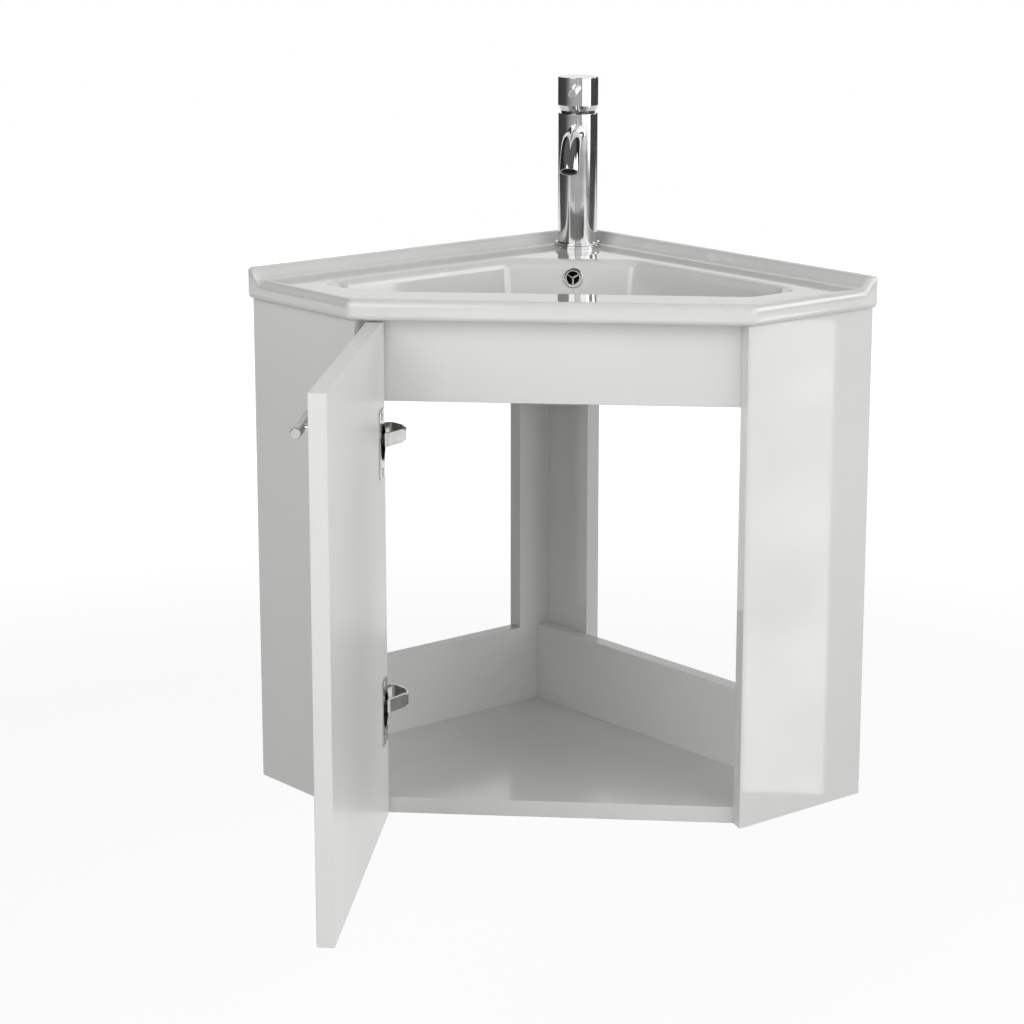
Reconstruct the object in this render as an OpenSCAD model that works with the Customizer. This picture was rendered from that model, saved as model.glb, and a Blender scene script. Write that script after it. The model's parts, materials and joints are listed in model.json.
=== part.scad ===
// Corner vanity unit: a wall-hung cabinet for a room corner, with a ceramic basin,
// a single-lever mixer tap and one hinged door. Millimetres.
// Frame: the origin is the room's corner at the height of the cabinet's underside.
// The right wall runs towards +X -Y and the left wall towards -X -Y, so -Y is the
// way out of the corner and +Z is up. The door stands open at 90 degrees.
// Plan places are given as [u, v]: u runs out along the right wall, v along the left.

/* [Cabinet] */
// Length of the cabinet along each wall
wall_leg = 420; // [390:5:460]
// Width of each side panel, out from the wall
side_w = 163; // [150:1:180]
// Height of the cabinet
cab_h = 484; // [460:2:540]
// Thickness of the cabinet's boards
board = 16; // [15:0.5:18]
// Free depth behind the back boards on the right wall, for pipes
service_gap = 42; // [36:1:50]
// Height of the two lower back rails
lower_rail_h = 82; // [60:1:100]
// Height of the left back board above its window
left_top_rail_h = 82; // [60:1:90]
// Height of the upper back rail on the right
right_top_rail_h = 40; // [30:1:44]
// Top of the upper right rail below the top of the cabinet, clear of the tap's fixing
right_top_rail_drop = 50; // [46:1:60]
// Width of the left back board beside the corner
corner_stile_w = 56; // [40:1:70]
// Width of the left back board beside the side panel
outer_stile_w = 56; // [40:1:80]
// Width of the post in the corner
post_w = 61; // [50:1:80]
// Height of the fascia over the door opening
fascia_h = 78.5; // [70:0.5:90]
// Diameter of the wall screw holes
wall_screw_d = 6; // [4:0.5:8]
// Wall screw holes in from the window's two edges
wall_screw_in = 28; // [22:1:30]

/* [Joints in the boards] */
// Diameter of the wooden dowels
dowel_d = 8; // [6:1:10]
// Length of the wooden dowels
dowel_len = 30; // [26:1:34]
// Depth of the dowel in a side panel
dowel_in_side = 11; // [9:0.5:12]
// Clearance round a dowel or a screw in its hole
hole_clear = 0.05; // [0.02:0.01:0.1]
// Leg of the corner blocks behind the fascia
block_leg = 20; // [14:1:24]
// Height of the corner blocks
block_h = 30; // [20:1:40]

/* [Door] */
// Thickness of the door
door_t = 16; // [15:0.5:18]
// Gap at each side of the closed door, to the side panels
door_side_gap = 4.35; // [3.5:0.05:5]
// Gap behind the closed door
door_back_gap = 4.8; // [4.5:0.1:6]
// Gap from the basin down to the door
door_top_gap = 2; // [1:0.5:4]
// Gap from the bottom of the cabinet up to the door
door_bottom_gap = 0.5; // [0:0.5:4]
// Radius on the door's upright edges
door_edge_r = 1; // [0.5:0.25:1.5]

/* [Hinges] */
// Hinge axis in from the door's hinged edge
pin_from_edge = 7.8; // [7.2:0.1:8.2]
// Hinge axis below the door's inner face
pin_depth = 7.3; // [7:0.1:7.6]
// Centre of the hinge cup in from the door's hinged edge
cup_from_edge = 20.5; // [20:0.1:21]
// Diameter of the hinge cup
cup_d = 35; // [35:0.5:36]
// Depth of the hinge cup
cup_depth = 11.5; // [11:0.1:12]
// Wall of the hinge cup
cup_wall = 0.8; // [0.6:0.1:0.9]
// Thickness of the cup's flange
flange_t = 1.2; // [0.8:0.1:1.4]
// Distance between the cup's two screws
cup_screw_gap = 52; // [48:1:56]
// Hinges in from the door's top and bottom edges
hinge_inset = 111; // [90:1:130]
// Diameter of the hinge pin
pin_d = 2.5; // [2:0.1:2.6]
// Running clearance of the hinge pin, on the radius
pin_clear = 0.05; // [0.02:0.01:0.1]
// Width of the hinge arm's strip
arm_w = 13; // [11:0.5:13]
// Thickness of the hinge arm's strip
arm_t = 2; // [1.5:0.1:2.2]
// Reach of the hinge arm's hook in from the side panel
arm_reach = 41; // [36:1:44]
// Front of the hinge arm's hook, ahead of the side panel's inner corner
arm_ahead = 17; // [14:1:20]
// Height of the mounting plate's block over the side panel
plate_block_h = 16; // [12:1:18]
// Mounting plate's screws back from the side panel's front corner
plate_setback = 37; // [34:1:42]
// Distance between the mounting plate's two screws
plate_screw_gap = 32; // [30:1:36]
// Thickness of the mounting plate's wings
plate_t = 2.5; // [2:0.1:3]

/* [Handle] */
// Distance between the handle's posts
handle_pitch = 96; // [64:1:160]
// Overhang of the bar past each post
handle_over = 23; // [12:1:30]
// Diameter of the handle's bar
handle_bar_d = 10; // [8:0.5:14]
// Diameter of the handle's posts
handle_post_d = 7.5; // [5:0.5:8]
// Height of the handle out from the door
handle_out = 32; // [26:1:40]
// Handle's centre line below the door's top
handle_drop = 55.5; // [30:0.5:80]

/* [Basin] */
// Overhang of the basin past the side panels
basin_over = 6.5; // [4:0.5:8]
// Overhang of the basin past the side panels' front corners
basin_front_over = 4; // [1:0.5:6]
// Radius in plan of the basin's two corners at the walls
tip_r = 3; // [2:0.5:4]
// Thickness of the basin's deck
deck_t = 20; // [18:0.5:24]
// Height of the upstand along the walls, over the deck
upstand_h = 11; // [6:0.5:14]
// Depth of the upstand, out from the wall to the end of its cove
upstand_w = 21; // [18:0.5:23]
// Radius on the front edge's top
nose_top_r = 8; // [6:0.5:9]
// Radius on the upstand's top along the walls
wall_edge_r = 3; // [2:0.5:5]
// Radius on the front edge's bottom
nose_bottom_r = 6; // [4:0.5:8]
// Bowl's rim in from each wall
bowl_wall_in = 58; // [54:1:66]
// Bowl's rim out from the corner, along the middle
bowl_back_in = 150; // [144:1:160]
// Bowl's rim in from the basin's ends
bowl_end_in = 36; // [30:1:40]
// Bowl's rim in from the basin's front
bowl_front_in = 49; // [44:1:56]
// Radius of the roll from the deck into the bowl
roll_r = 12; // [9:0.5:14]
// Depth of the bowl
bowl_depth = 106; // [95:1:110]
// Thickness of the bowl's wall
bowl_wall = 9; // [8:0.5:11]
// Thickness of the ceramic round the waste hole
waste_land_t = 12; // [10:0.5:15]
// Diameter of the waste hole
waste_d = 45; // [40:1:46]
// Diameter of the tap hole in the deck
tap_hole_d = 35; // [33:1:36]
// Diameter of the overflow ring
overflow_d = 20; // [18:0.5:22]
// Overflow ring's centre below the deck
overflow_drop = 17.5; // [16:0.5:24]
// Overflow ring's centre to the right of the bowl's middle
overflow_side = 2.5; // [0:0.5:4]

/* [Tap] */
// Tap's axis out from the corner, along the middle
tap_out = 69; // [66:1:72]
// Diameter of the tap's body
tap_d = 40.6; // [40:0.2:42]
// Height of the tap's body over the deck
tap_h = 137.5; // [120:0.5:160]
// Thickness of the rubber gasket under the tap
gasket_t = 1; // [0.5:0.5:2]
// Diameter of the ring at the tap's foot
foot_ring_d = 48.2; // [46:0.2:52]
// Height of the ring at the tap's foot
foot_ring_h = 6; // [4:0.5:8]
// Diameter of the cartridge's bore in the body
cartridge_bore_d = 34.2; // [33.8:0.1:34.6]
// Diameter of the spout's tube
spout_d = 19; // [17:0.5:21]
// Wall of the spout's tube
spout_wall = 1.7; // [1.2:0.1:2.2]
// Spout's axis below the top of the body
spout_drop = 19.5; // [17:0.5:26]
// Straight length of the spout, from the tap's axis
spout_straight = 75; // [50:1:90]
// Radius of the spout's bend
spout_bend_r = 50; // [35:1:60]
// Angle of the spout's bend
spout_bend = 62; // [45:1:75]
// Diameter of the lever's cap
cap_d = 41.5; // [41:0.1:42]
// Radius of the ball under the cap
ball_r = 21.4; // [21.2:0.1:21.8]
// Centre of the ball over the top of the body
ball_up = 13.4; // [13:0.1:14]
// Top of the cap over the ball's centre
cap_up = 23.1; // [20:0.1:30]
// Diameter of the lever's pin
lever_d = 8.5; // [6:0.5:9]
// Reach of the lever's pin from the tap's axis
lever_reach = 82; // [60:1:100]
// Lever's pin above the ball's centre
lever_up = 13.1; // [11:0.1:14]
// Diameter of the cartridge's spindle
spindle_d = 12; // [10:0.5:12]
// Diameter of the water inlets under the tap
inlet_d = 9; // [8:0.5:9]
// Depth of the water inlets
inlet_depth = 12; // [8:1:16]
// Distance between the two water inlets
inlet_gap = 17; // [16:0.5:18]
// Diameter of the fixing stud
stud_d = 8; // [6:1:8]

/* [Hidden] */
$fn = 64;

board_white = [0.94, 0.94, 0.93];
ceramic_white = [0.96, 0.96, 0.95];
chrome_grey = [0.80, 0.81, 0.82];
steel_grey = [0.62, 0.63, 0.64];
brass_yellow = [0.78, 0.66, 0.36];
rubber_black = [0.08, 0.08, 0.08];
plastic_black = [0.12, 0.12, 0.12];
dowel_wood = [0.82, 0.68, 0.46];

// ---- plan helpers ----
function wall_point(u, v) = [(u - v) / sqrt(2), -(u + v) / sqrt(2)];
function wall_u(p) = (p[0] - p[1]) / sqrt(2);
function wall_v(p) = (-p[0] - p[1]) / sqrt(2);
function turned(p, a) = [p[0] * cos(a) - p[1] * sin(a), p[0] * sin(a) + p[1] * cos(a)];
function unit(p) = p / norm(p);
function last(list) = list[len(list) - 1];

// Arc that rounds corner p between its neighbours a and b, in n steps
function round_corner(a, p, b, r, n) =
    let (da = unit(a - p), db = unit(b - p),
         half = acos(max(-1, min(1, da * db))) / 2,
         c = p + unit(da + db) * r / sin(half),
         start = p + da * r / tan(half) - c,
         side = (da[0] * db[1] - da[1] * db[0]) < 0 ? 1 : -1)
    [for (i = [0:n]) c + turned(start, side * (180 - 2 * half) * i / n)];

// Closed outline with every corner rounded; fractions[k] adds points along edge k
function rounded_outline(corners, radii, fractions, n) =
    let (count = len(corners),
         arcs = [for (k = [0:count - 1])
             round_corner(corners[(k + count - 1) % count], corners[k],
                          corners[(k + 1) % count], radii[k], n)])
    [for (k = [0:count - 1])
        let (from = last(arcs[k]), to = arcs[(k + 1) % count][0])
        each concat(arcs[k], [for (f = fractions[k]) from + (to - from) * f])];

// Convex outline, counter-clockwise, with every edge moved in by d
function moved_in(corners, d) =
    let (count = len(corners))
    [for (k = [0:count - 1])
        let (e1 = unit(corners[k] - corners[(k + count - 1) % count]),
             e2 = unit(corners[(k + 1) % count] - corners[k]),
             n1 = turned(e1, 90), n2 = turned(e2, 90))
        corners[k] + (n1 + n2) * d / (1 + n1 * n2)];

// Open path with its inner corners rounded
function rounded_path(points, radii, n) =
    concat([points[0]],
           [for (k = [1:len(points) - 2])
               each round_corner(points[k - 1], points[k], points[k + 1], radii[k - 1], n)],
           [last(points)]);

// Strip of thickness t along a path
function strip(path, t) =
    let (count = len(path),
         normals = [for (i = [0:count - 1])
             let (a = path[max(i - 1, 0)], b = path[min(i + 1, count - 1)])
             turned(unit(b - a), 90)])
    concat([for (i = [0:count - 1]) path[i] + normals[i] * t / 2],
           [for (i = [count - 1:-1:0]) path[i] - normals[i] * t / 2]);

// Draws in the plan of one wall: x runs out along that wall, -y away from it
module on_right_wall() rotate(-45) children();
module on_left_wall() mirror([1, 0, 0]) on_right_wall() children();

module board_prism(points, z0, z1) translate([0, 0, z0]) linear_extrude(z1 - z0) polygon(points);

// ---- cabinet places ----
inner_leg = wall_leg - board;
side_inner_w = side_w - board * tan(22.5);
front_corner = wall_point(inner_leg, side_inner_w);
outer_corner = wall_point(wall_leg, side_w);
front_y = front_corner[1];
rail_face = service_gap + 2 * board;
post_face = service_gap + board;
rail_top = board + lower_rail_h;
top_rail_top = cab_h - right_top_rail_drop;
top_rail_z = top_rail_top - right_top_rail_h;
window_near = service_gap + corner_stile_w;
window_far = inner_leg - outer_stile_w;
window_top = cab_h - left_top_rail_h;
fascia_z = cab_h - fascia_h;
fascia_back_y = front_y + board;
// Wall screws: two through the left board's upper rail, one through its lower rail
wall_screw_places = [
    [window_near + wall_screw_in, cab_h - left_top_rail_h / 2],
    [window_far - wall_screw_in, cab_h - left_top_rail_h / 2],
    [window_far - wall_screw_in, board + lower_rail_h / 2]];

// Dowels into a side panel: [distance from that wall, height]
floor_dowels = [[70, board / 2], [130, board / 2]];
right_dowels = concat(floor_dowels,
    [[service_gap + 1.5 * board, board + lower_rail_h / 4],
     [service_gap + 1.5 * board, board + lower_rail_h * 3 / 4],
     [service_gap + board / 2, top_rail_z + right_top_rail_h / 2]]);
left_dowels = concat(floor_dowels,
    [[board / 2, board + lower_rail_h / 2], [board / 2, (rail_top + window_top) / 2],
     [board / 2, cab_h - left_top_rail_h / 2]]);

module dowel_row(places, extra) {
    for (p = places)
        translate([inner_leg + dowel_in_side - dowel_len - extra, -p[0], p[1]])
            rotate([0, 90, 0]) cylinder(d = dowel_d + 2 * extra, h = dowel_len + 2 * extra);
}

module side_panel(dowels) {
    difference() {
        board_prism([[inner_leg, 0], [wall_leg, 0], [wall_leg, -side_w],
                     [inner_leg, -side_inner_w]], 0, cab_h);
        dowel_row(dowels, hole_clear);
    }
}

module left_side_panel() {
    color(board_white) difference() {
        on_left_wall() side_panel(left_dowels);
        for (z = hinge_heights) at_plate_screws(z)
            translate([0, 0, -plate_screw_len])
                cylinder(d = plate_screw_d + 2 * hole_clear, h = plate_screw_len + 1);
    }
}

module right_side_panel() {
    color(board_white) on_right_wall() side_panel(right_dowels);
}

module floor_panel() {
    color(board_white) difference() {
        board_prism([wall_point(0, service_gap), wall_point(0, inner_leg),
                     wall_point(side_inner_w, inner_leg),
                     wall_point(inner_leg, side_inner_w),
                     wall_point(inner_leg, service_gap)], 0, board);
        on_right_wall() dowel_row(floor_dowels, hole_clear);
        on_left_wall() dowel_row(floor_dowels, hole_clear);
    }
}

module front_fascia() {
    back_x = fascia_back_y + inner_leg * sqrt(2);
    color(board_white)
        board_prism([[-front_corner[0], front_y], [front_corner[0], front_y],
                     [back_x, fascia_back_y], [-back_x, fascia_back_y]], fascia_z, cab_h);
}

module left_back_panel() {
    color(board_white) on_left_wall() difference() {
        board_prism([[service_gap, 0], [inner_leg, 0], [inner_leg, -board],
                     [service_gap, -board]], board, cab_h);
        translate([window_near, -board - 1, rail_top])
            cube([window_far - window_near, board + 2, window_top - rail_top]);
        for (p = wall_screw_places)
            translate([p[0], 1, p[1]]) rotate([90, 0, 0])
                cylinder(d = wall_screw_d, h = board + 2);
        dowel_row(left_dowels, hole_clear);
    }
}

module right_board(u0, u1, v0, v1, z0, z1) {
    color(board_white) on_right_wall() difference() {
        translate([u0, -v1, z0]) cube([u1 - u0, v1 - v0, z1 - z0]);
        dowel_row(right_dowels, hole_clear);
    }
}

module right_lower_rail() right_board(board, inner_leg, post_face, rail_face, board, rail_top);
module right_upper_rail() right_board(board, inner_leg, service_gap, post_face,
                                      top_rail_z, top_rail_top);
module right_back_post() right_board(board, board + post_w, service_gap, post_face,
                                     board, top_rail_z);

module panel_dowels() {
    color(dowel_wood) {
        on_right_wall() dowel_row(right_dowels, 0);
        on_left_wall() dowel_row(left_dowels, 0);
    }
}

// Glued blocks in the angles between the fascia and the side panels
module fascia_blocks() {
    joint = [fascia_back_y + inner_leg * sqrt(2), fascia_back_y];
    corner = [joint, joint + [-block_leg, 0], joint + turned([0, block_leg], -45)];
    color(dowel_wood) for (side = [0, 1]) mirror([side, 0, 0])
        board_prism(corner, fascia_z + 2, fascia_z + 2 + block_h);
}

// ---- door places ----
// The door's own frame has its origin on the hinge axis, as the door is when shut:
// x runs along the door from its hinged edge, +y into the cabinet.
open_angle = 90;
door_w = 2 * (front_corner[0] - door_side_gap);
hinge_axis = [pin_from_edge - door_w / 2, front_y - door_back_gap - pin_depth];
door_z0 = door_bottom_gap;
door_z1 = cab_h - door_top_gap;
door_x0 = -pin_from_edge;
door_face_y = pin_depth;
door_front_y = pin_depth - door_t;
hinge_heights = [door_z0 + hinge_inset, door_z1 - hinge_inset];
cup_x = cup_from_edge - pin_from_edge;
cup_pocket_depth = cup_depth + 0.3;
handle_x = door_w / 2 - pin_from_edge;
handle_z = door_z1 - handle_drop;
handle_bar_y = door_front_y - handle_out + handle_bar_d / 2;
handle_stud_d = 4;
handle_stud_in = 11;
handle_stud_out = 10;
cup_screw_off = 5.5;
cup_screw_d = 3.5;
cup_screw_len = 11;

module in_door() translate(concat(hinge_axis, 0)) rotate(-open_angle) children();
// From a place on the door's inner face: local z points out of that face
module on_door_face(x, z) in_door() translate([x, door_face_y, z]) rotate([-90, 0, 0]) children();

module door_panel() {
    outline = [[door_x0, door_front_y], [door_x0 + door_w, door_front_y],
               [door_x0 + door_w, door_face_y], [door_x0, door_face_y]];
    color(board_white) difference() {
        in_door() board_prism(rounded_outline(outline, [for (c = outline) door_edge_r],
                                              [for (c = outline) []], 4), door_z0, door_z1);
        for (z = hinge_heights) {
            on_door_face(cup_x, z) translate([0, 0, -cup_pocket_depth])
                cylinder(d = cup_d + 0.2, h = cup_pocket_depth + 1);
            at_cup_screws(z) translate([0, 0, -cup_screw_len])
                cylinder(d = cup_screw_d + 2 * hole_clear, h = cup_screw_len + 1);
        }
        in_door() handle_studs_at(hole_clear);
    }
}

// Cup screws: their place on the door's face
module at_cup_screws(z) {
    for (side = [-1, 1])
        on_door_face(cup_x + cup_screw_off, z + side * cup_screw_gap / 2) children();
}

// Steel cup let into the door, with a flange over the face
module hinge_cup(z) {
    ear_r = 6;
    color(steel_grey) difference() {
        union() {
            difference() {
                cup_outside(z, ear_r);
                on_door_face(cup_x, z) translate([0, 0, cup_wall - cup_depth])
                    cylinder(d = cup_d - 2 * cup_wall, h = cup_depth + flange_t);
            }
            in_door() translate([0, 0, z]) cup_lugs();
        }
        at_cup_screws(z) translate([0, 0, -1]) cylinder(d = cup_screw_d, h = flange_t + 2);
        in_door() translate([0, 0, z]) hinge_pin_shape(0);
    }
}
module cup_outside(z, ear_r) {
    on_door_face(cup_x, z) {
        translate([0, 0, -cup_depth]) cylinder(d = cup_d, h = cup_depth);
        cylinder(d = cup_d + 3, h = flange_t);
    }
    on_door_face(cup_x + cup_screw_off, z) {
        translate([-ear_r, -cup_screw_gap / 2, 0]) cube([2 * ear_r, cup_screw_gap, flange_t]);
        for (side = [-1, 1]) translate([0, side * cup_screw_gap / 2, 0])
            cylinder(r = ear_r, h = flange_t);
    }
}
module hinge_cup_lower() hinge_cup(hinge_heights[0]);
module hinge_cup_upper() hinge_cup(hinge_heights[1]);

module hinge_cup_screws() {
    color(steel_grey) for (z = hinge_heights) at_cup_screws(z) {
        translate([0, 0, -cup_screw_len]) cylinder(d = cup_screw_d, h = cup_screw_len + flange_t);
        translate([0, 0, flange_t]) countersunk_head(cup_screw_d);
    }
}

// Low domed head with a cross recess
module countersunk_head(d) {
    difference() {
        cylinder(d1 = 2 * d, d2 = 1.3 * d, h = 0.8);
        for (a = [0, 90]) rotate(a) translate([-d / 2, -0.4, 0.3]) cube([d, 0.8, 1]);
    }
}

// The pin spans the cup, with both ends in lugs that are part of the cup
pin_half = sqrt(pow(cup_d / 2, 2) - pow(cup_x + pin_d / 2, 2)) - 0.3;
lug_start = arm_w / 2 + 0.5;
lug_r = 2.6;
module cup_lugs() intersection() {
    translate([cup_x, pin_depth - cup_depth, 0]) rotate([-90, 0, 0])
        cylinder(d = cup_d - cup_wall, h = cup_depth);
    for (side = [0, 1]) mirror([0, 0, side]) translate([0, 0, lug_start]) {
        cylinder(r = lug_r, h = cup_d);
        translate([-lug_r, pin_depth - cup_depth, 0]) cube([2 * lug_r, -pin_depth + cup_depth, cup_d]);
    }
}
module hinge_pin_shape(extra) {
    translate([0, 0, -pin_half]) cylinder(d = pin_d + 2 * extra, h = 2 * pin_half);
}
module hinge_pin(z) color(steel_grey) in_door() translate([0, 0, z]) hinge_pin_shape(0);
module hinge_pin_lower() hinge_pin(hinge_heights[0]);
module hinge_pin_upper() hinge_pin(hinge_heights[1]);

// ---- hinge arms and plates, fixed to the left side panel ----
// Panel frame: x back from the panel's front inner corner, y down, z in from the
// panel's inner face.
plate_screw_d = 3.5;
plate_screw_len = 13;
plate_block_w = 9;
plate_block_len = 44;
arm_screw_d = 5;
arm_screw_in = 7;
module on_left_panel(back, z) {
    on_left_wall() translate([inner_leg, -(side_inner_w - back), z])
        rotate([-90, 0, 90]) children();
}
module at_plate_screws(z) {
    for (side = [-1, 1]) on_left_panel(plate_setback, z + side * plate_screw_gap / 2) children();
}

block_back = plate_setback - 15;
module hinge_plate(z) {
    color(steel_grey) difference() {
        union() {
            on_left_panel(plate_setback, z) {
                translate([-9, -plate_screw_gap / 2, 0]) cube([18, plate_screw_gap, plate_t]);
                for (side = [-1, 1]) translate([0, side * plate_screw_gap / 2, 0])
                    cylinder(r = 9, h = plate_t);
            }
            on_left_panel(block_back, z) translate([0, -plate_block_w / 2, 0])
                cube([plate_block_len, plate_block_w, plate_block_h]);
        }
        at_plate_screws(z) translate([0, 0, -1]) cylinder(d = plate_screw_d, h = plate_t + 2);
        at_arm_screws(z) translate([0, 0, -arm_screw_in]) cylinder(d = arm_screw_d, h = arm_screw_in + 1);
    }
}
module hinge_plate_lower() hinge_plate(hinge_heights[0]);
module hinge_plate_upper() hinge_plate(hinge_heights[1]);

module hinge_plate_screws() {
    color(steel_grey) for (z = hinge_heights) at_plate_screws(z) {
        translate([0, 0, -plate_screw_len]) cylinder(d = plate_screw_d, h = plate_screw_len + plate_t);
        translate([0, 0, plate_t]) countersunk_head(plate_screw_d);
    }
}

module at_arm_screws(z) {
    for (x = [8, plate_block_len - 9])
        on_left_panel(block_back + x, z) translate([0, 0, plate_block_h]) children();
}

// Route of the arm's strip in plan, from the pin out of the cup and back to the panel
function panel_point(back, out) = wall_point(side_inner_w - back, inner_leg - out);
arm_body_out = plate_block_h + arm_t / 2;
arm_path = rounded_path([
    hinge_axis,
    hinge_axis + [9.6, -0.3],
    panel_point(-arm_ahead, arm_reach - 7),
    panel_point(8 - arm_ahead, arm_reach),
    panel_point(block_back - 9, arm_reach + 0.5),
    panel_point(block_back - 5, arm_reach - 9),
    panel_point(block_back - 1, arm_body_out),
    panel_point(block_back + plate_block_len, arm_body_out)
], [2.5, 5, 6, 6, 8, 5], 6);
eye_r = 2.4;
arm_notch = 1.3;

module hinge_arm(z) {
    cheek_len = plate_block_len - 4;
    cheek_h = 8;
    color(steel_grey) difference() {
        union() {
            board_prism(strip(arm_path, arm_t), z - arm_w / 2, z + arm_w / 2);
            translate(concat(hinge_axis, z - arm_w / 2)) cylinder(r = eye_r, h = arm_w);
            for (side = [-1, 1]) on_left_panel(block_back + 4, z)
                translate([0, side * (arm_w / 2 - 0.75) - 0.75, plate_block_h - cheek_h])
                    cube([cheek_len, 1.5, cheek_h + arm_t / 2]);
        }
        translate(concat(hinge_axis, z - arm_w)) cylinder(d = pin_d + 2 * pin_clear, h = 2 * arm_w);
        at_arm_screws(z) translate([0, 0, -1]) cylinder(d = arm_screw_d, h = arm_t + 2);
        for (side = [-1, 1]) on_left_panel(-arm_ahead - 3, z)
            translate([0, side * arm_w / 2 - arm_notch, arm_reach - 10])
                cube([arm_ahead - 2, 2 * arm_notch, 20]);
    }
}
module hinge_arm_lower() hinge_arm(hinge_heights[0]);
module hinge_arm_upper() hinge_arm(hinge_heights[1]);

module hinge_arm_screws() {
    color(steel_grey) for (z = hinge_heights) at_arm_screws(z) {
        translate([0, 0, -arm_screw_in]) cylinder(d = arm_screw_d, h = arm_screw_in + arm_t);
        translate([0, 0, arm_t]) difference() {
            cylinder(d = 8, h = 1.8);
            for (a = [0, 90]) rotate(a) translate([-2.5, -0.6, 0.8]) cube([5, 1.2, 2]);
        }
    }
}

// ---- handle ----
module handle_bar() {
    len = handle_pitch + 2 * handle_over;
    chamfer = 0.8;
    color(chrome_grey) in_door() difference() {
        translate([handle_x - len / 2, handle_bar_y, handle_z]) rotate([0, 90, 0])
            rotate_extrude() polygon([[0, 0], [handle_bar_d / 2 - chamfer, 0],
                [handle_bar_d / 2, chamfer], [handle_bar_d / 2, len - chamfer],
                [handle_bar_d / 2 - chamfer, len], [0, len]]);
        handle_post_shape(0);
    }
}
module handle_post_shape(extra) {
    post_len = door_front_y - handle_bar_y;
    for (side = [-1, 1])
        translate([handle_x + side * handle_pitch / 2, door_front_y, handle_z]) rotate([90, 0, 0])
            cylinder(d = handle_post_d + 2 * extra, h = post_len);
}
module handle_posts() {
    color(chrome_grey) in_door() difference() {
        handle_post_shape(0);
        handle_studs_at(0);
    }
}
module handle_studs_at(extra) {
    for (side = [-1, 1])
        translate([handle_x + side * handle_pitch / 2, door_front_y + handle_stud_in + extra,
                   handle_z])
            rotate([90, 0, 0]) cylinder(d = handle_stud_d + 2 * extra,
                                        h = handle_stud_in + handle_stud_out + extra);
}
module handle_studs() color(steel_grey) in_door() handle_studs_at(0);

// ---- basin ----
basin_leg = wall_leg + basin_over;
basin_front_y = outer_corner[1] - basin_front_over;
basin_end_w = -basin_front_y * sqrt(2) - basin_leg;
deck_z = cab_h + deck_t;
wall_nick = 5;
// Counter-clockwise from the back: two at the room's corner, left end, front, right end
basin_corners = [
    wall_point(wall_nick, 0), wall_point(0, wall_nick),
    wall_point(0, basin_leg), wall_point(basin_end_w, basin_leg),
    wall_point(basin_leg, basin_end_w), wall_point(basin_leg, 0)];
basin_radii = [2, 2, tip_r, 12, 12, tip_r];
bowl_u_end = basin_leg - bowl_end_in;
bowl_front_y = basin_front_y + bowl_front_in;
bowl_front_v = -bowl_front_y * sqrt(2) - bowl_u_end;
bowl_back_v = bowl_back_in * sqrt(2) - bowl_wall_in;
bowl_corners = [
    wall_point(bowl_back_v, bowl_wall_in), wall_point(bowl_wall_in, bowl_back_v),
    wall_point(bowl_wall_in, bowl_u_end), wall_point(bowl_front_v, bowl_u_end),
    wall_point(bowl_u_end, bowl_front_v), wall_point(bowl_u_end, bowl_wall_in)];
bowl_radii = [14, 14, 26, 24, 24, 26];
waste_at = [0, (bowl_front_y - bowl_back_in) / 2];
waste_land_r = waste_d / 2 + 9;
corner_steps = 6;
// Extra points along the ends, close together where the upstand's end curves
end_steps = [0.013, 0.03, 0.046, 0.063, 0.08, 0.1, 0.13, 0.3];
edge_steps = [[], [], end_steps, [], [for (i = [len(end_steps) - 1:-1:0]) 1 - end_steps[i]], []];
side_points = [for (k = [0:5]) corner_steps + 1 + len(edge_steps[k])];

function drop(r, d) = d >= r ? 0 : r - sqrt(max(0, r * r - (r - d) * (r - d)));
// Upstand: level, then a cove down to the deck
upstand_flat = 5;
function upstand(w) =
    w <= upstand_flat ? upstand_h
    : w >= upstand_w ? 0
    : upstand_h * (1 + cos(180 * (w - upstand_flat) / (upstand_w - upstand_flat))) / 2;
// Point i of a wall tip's run, with the tip's arc first: 0 at the wall, 1 past the run's points
function eased(i) =
    let (t = min(1, i / (corner_steps + len(end_steps) - 2))) (1 - cos(180 * t)) / 2;
// 0 along the walls, 1 along the ends and the front, for each point of a ring
exposed = [for (k = [0:5], i = [0:side_points[k] - 1])
    k < 2 ? 0
    : k == 2 ? eased(i)
    : k == 4 ? eased(side_points[4] - 1 - i + corner_steps + 1)
    : k == 5 ? eased(corner_steps - i)
    : 1];

// The cut-off corner shrinks away as the ring moves in
function basin_ring(d) =
    let (corners = moved_in(basin_corners, d),
         cut = max(wall_nick + d * (sqrt(2) - 1), d + 0.5))
    rounded_outline(concat([wall_point(cut, d), wall_point(d, cut)],
                           [for (k = [2:5]) corners[k]]),
                    [for (r = basin_radii) max(0.4, r - d)], edge_steps, corner_steps);
function bowl_ring(e) = rounded_outline(moved_in(bowl_corners, e), bowl_radii,
                                        edge_steps, corner_steps);
// Circle round the waste, its points in the same directions as the bowl's ring
function waste_ring(r, ring) = [for (p = ring) waste_at + unit(p - waste_at) * r];
function level(ring, z) = [for (p = ring) [p[0], p[1], z]];
function blend(ring_a, ring_b, s, z) =
    [for (i = [0:len(ring_a) - 1]) concat(ring_a[i] * (1 - s) + ring_b[i] * s, z)];

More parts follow.
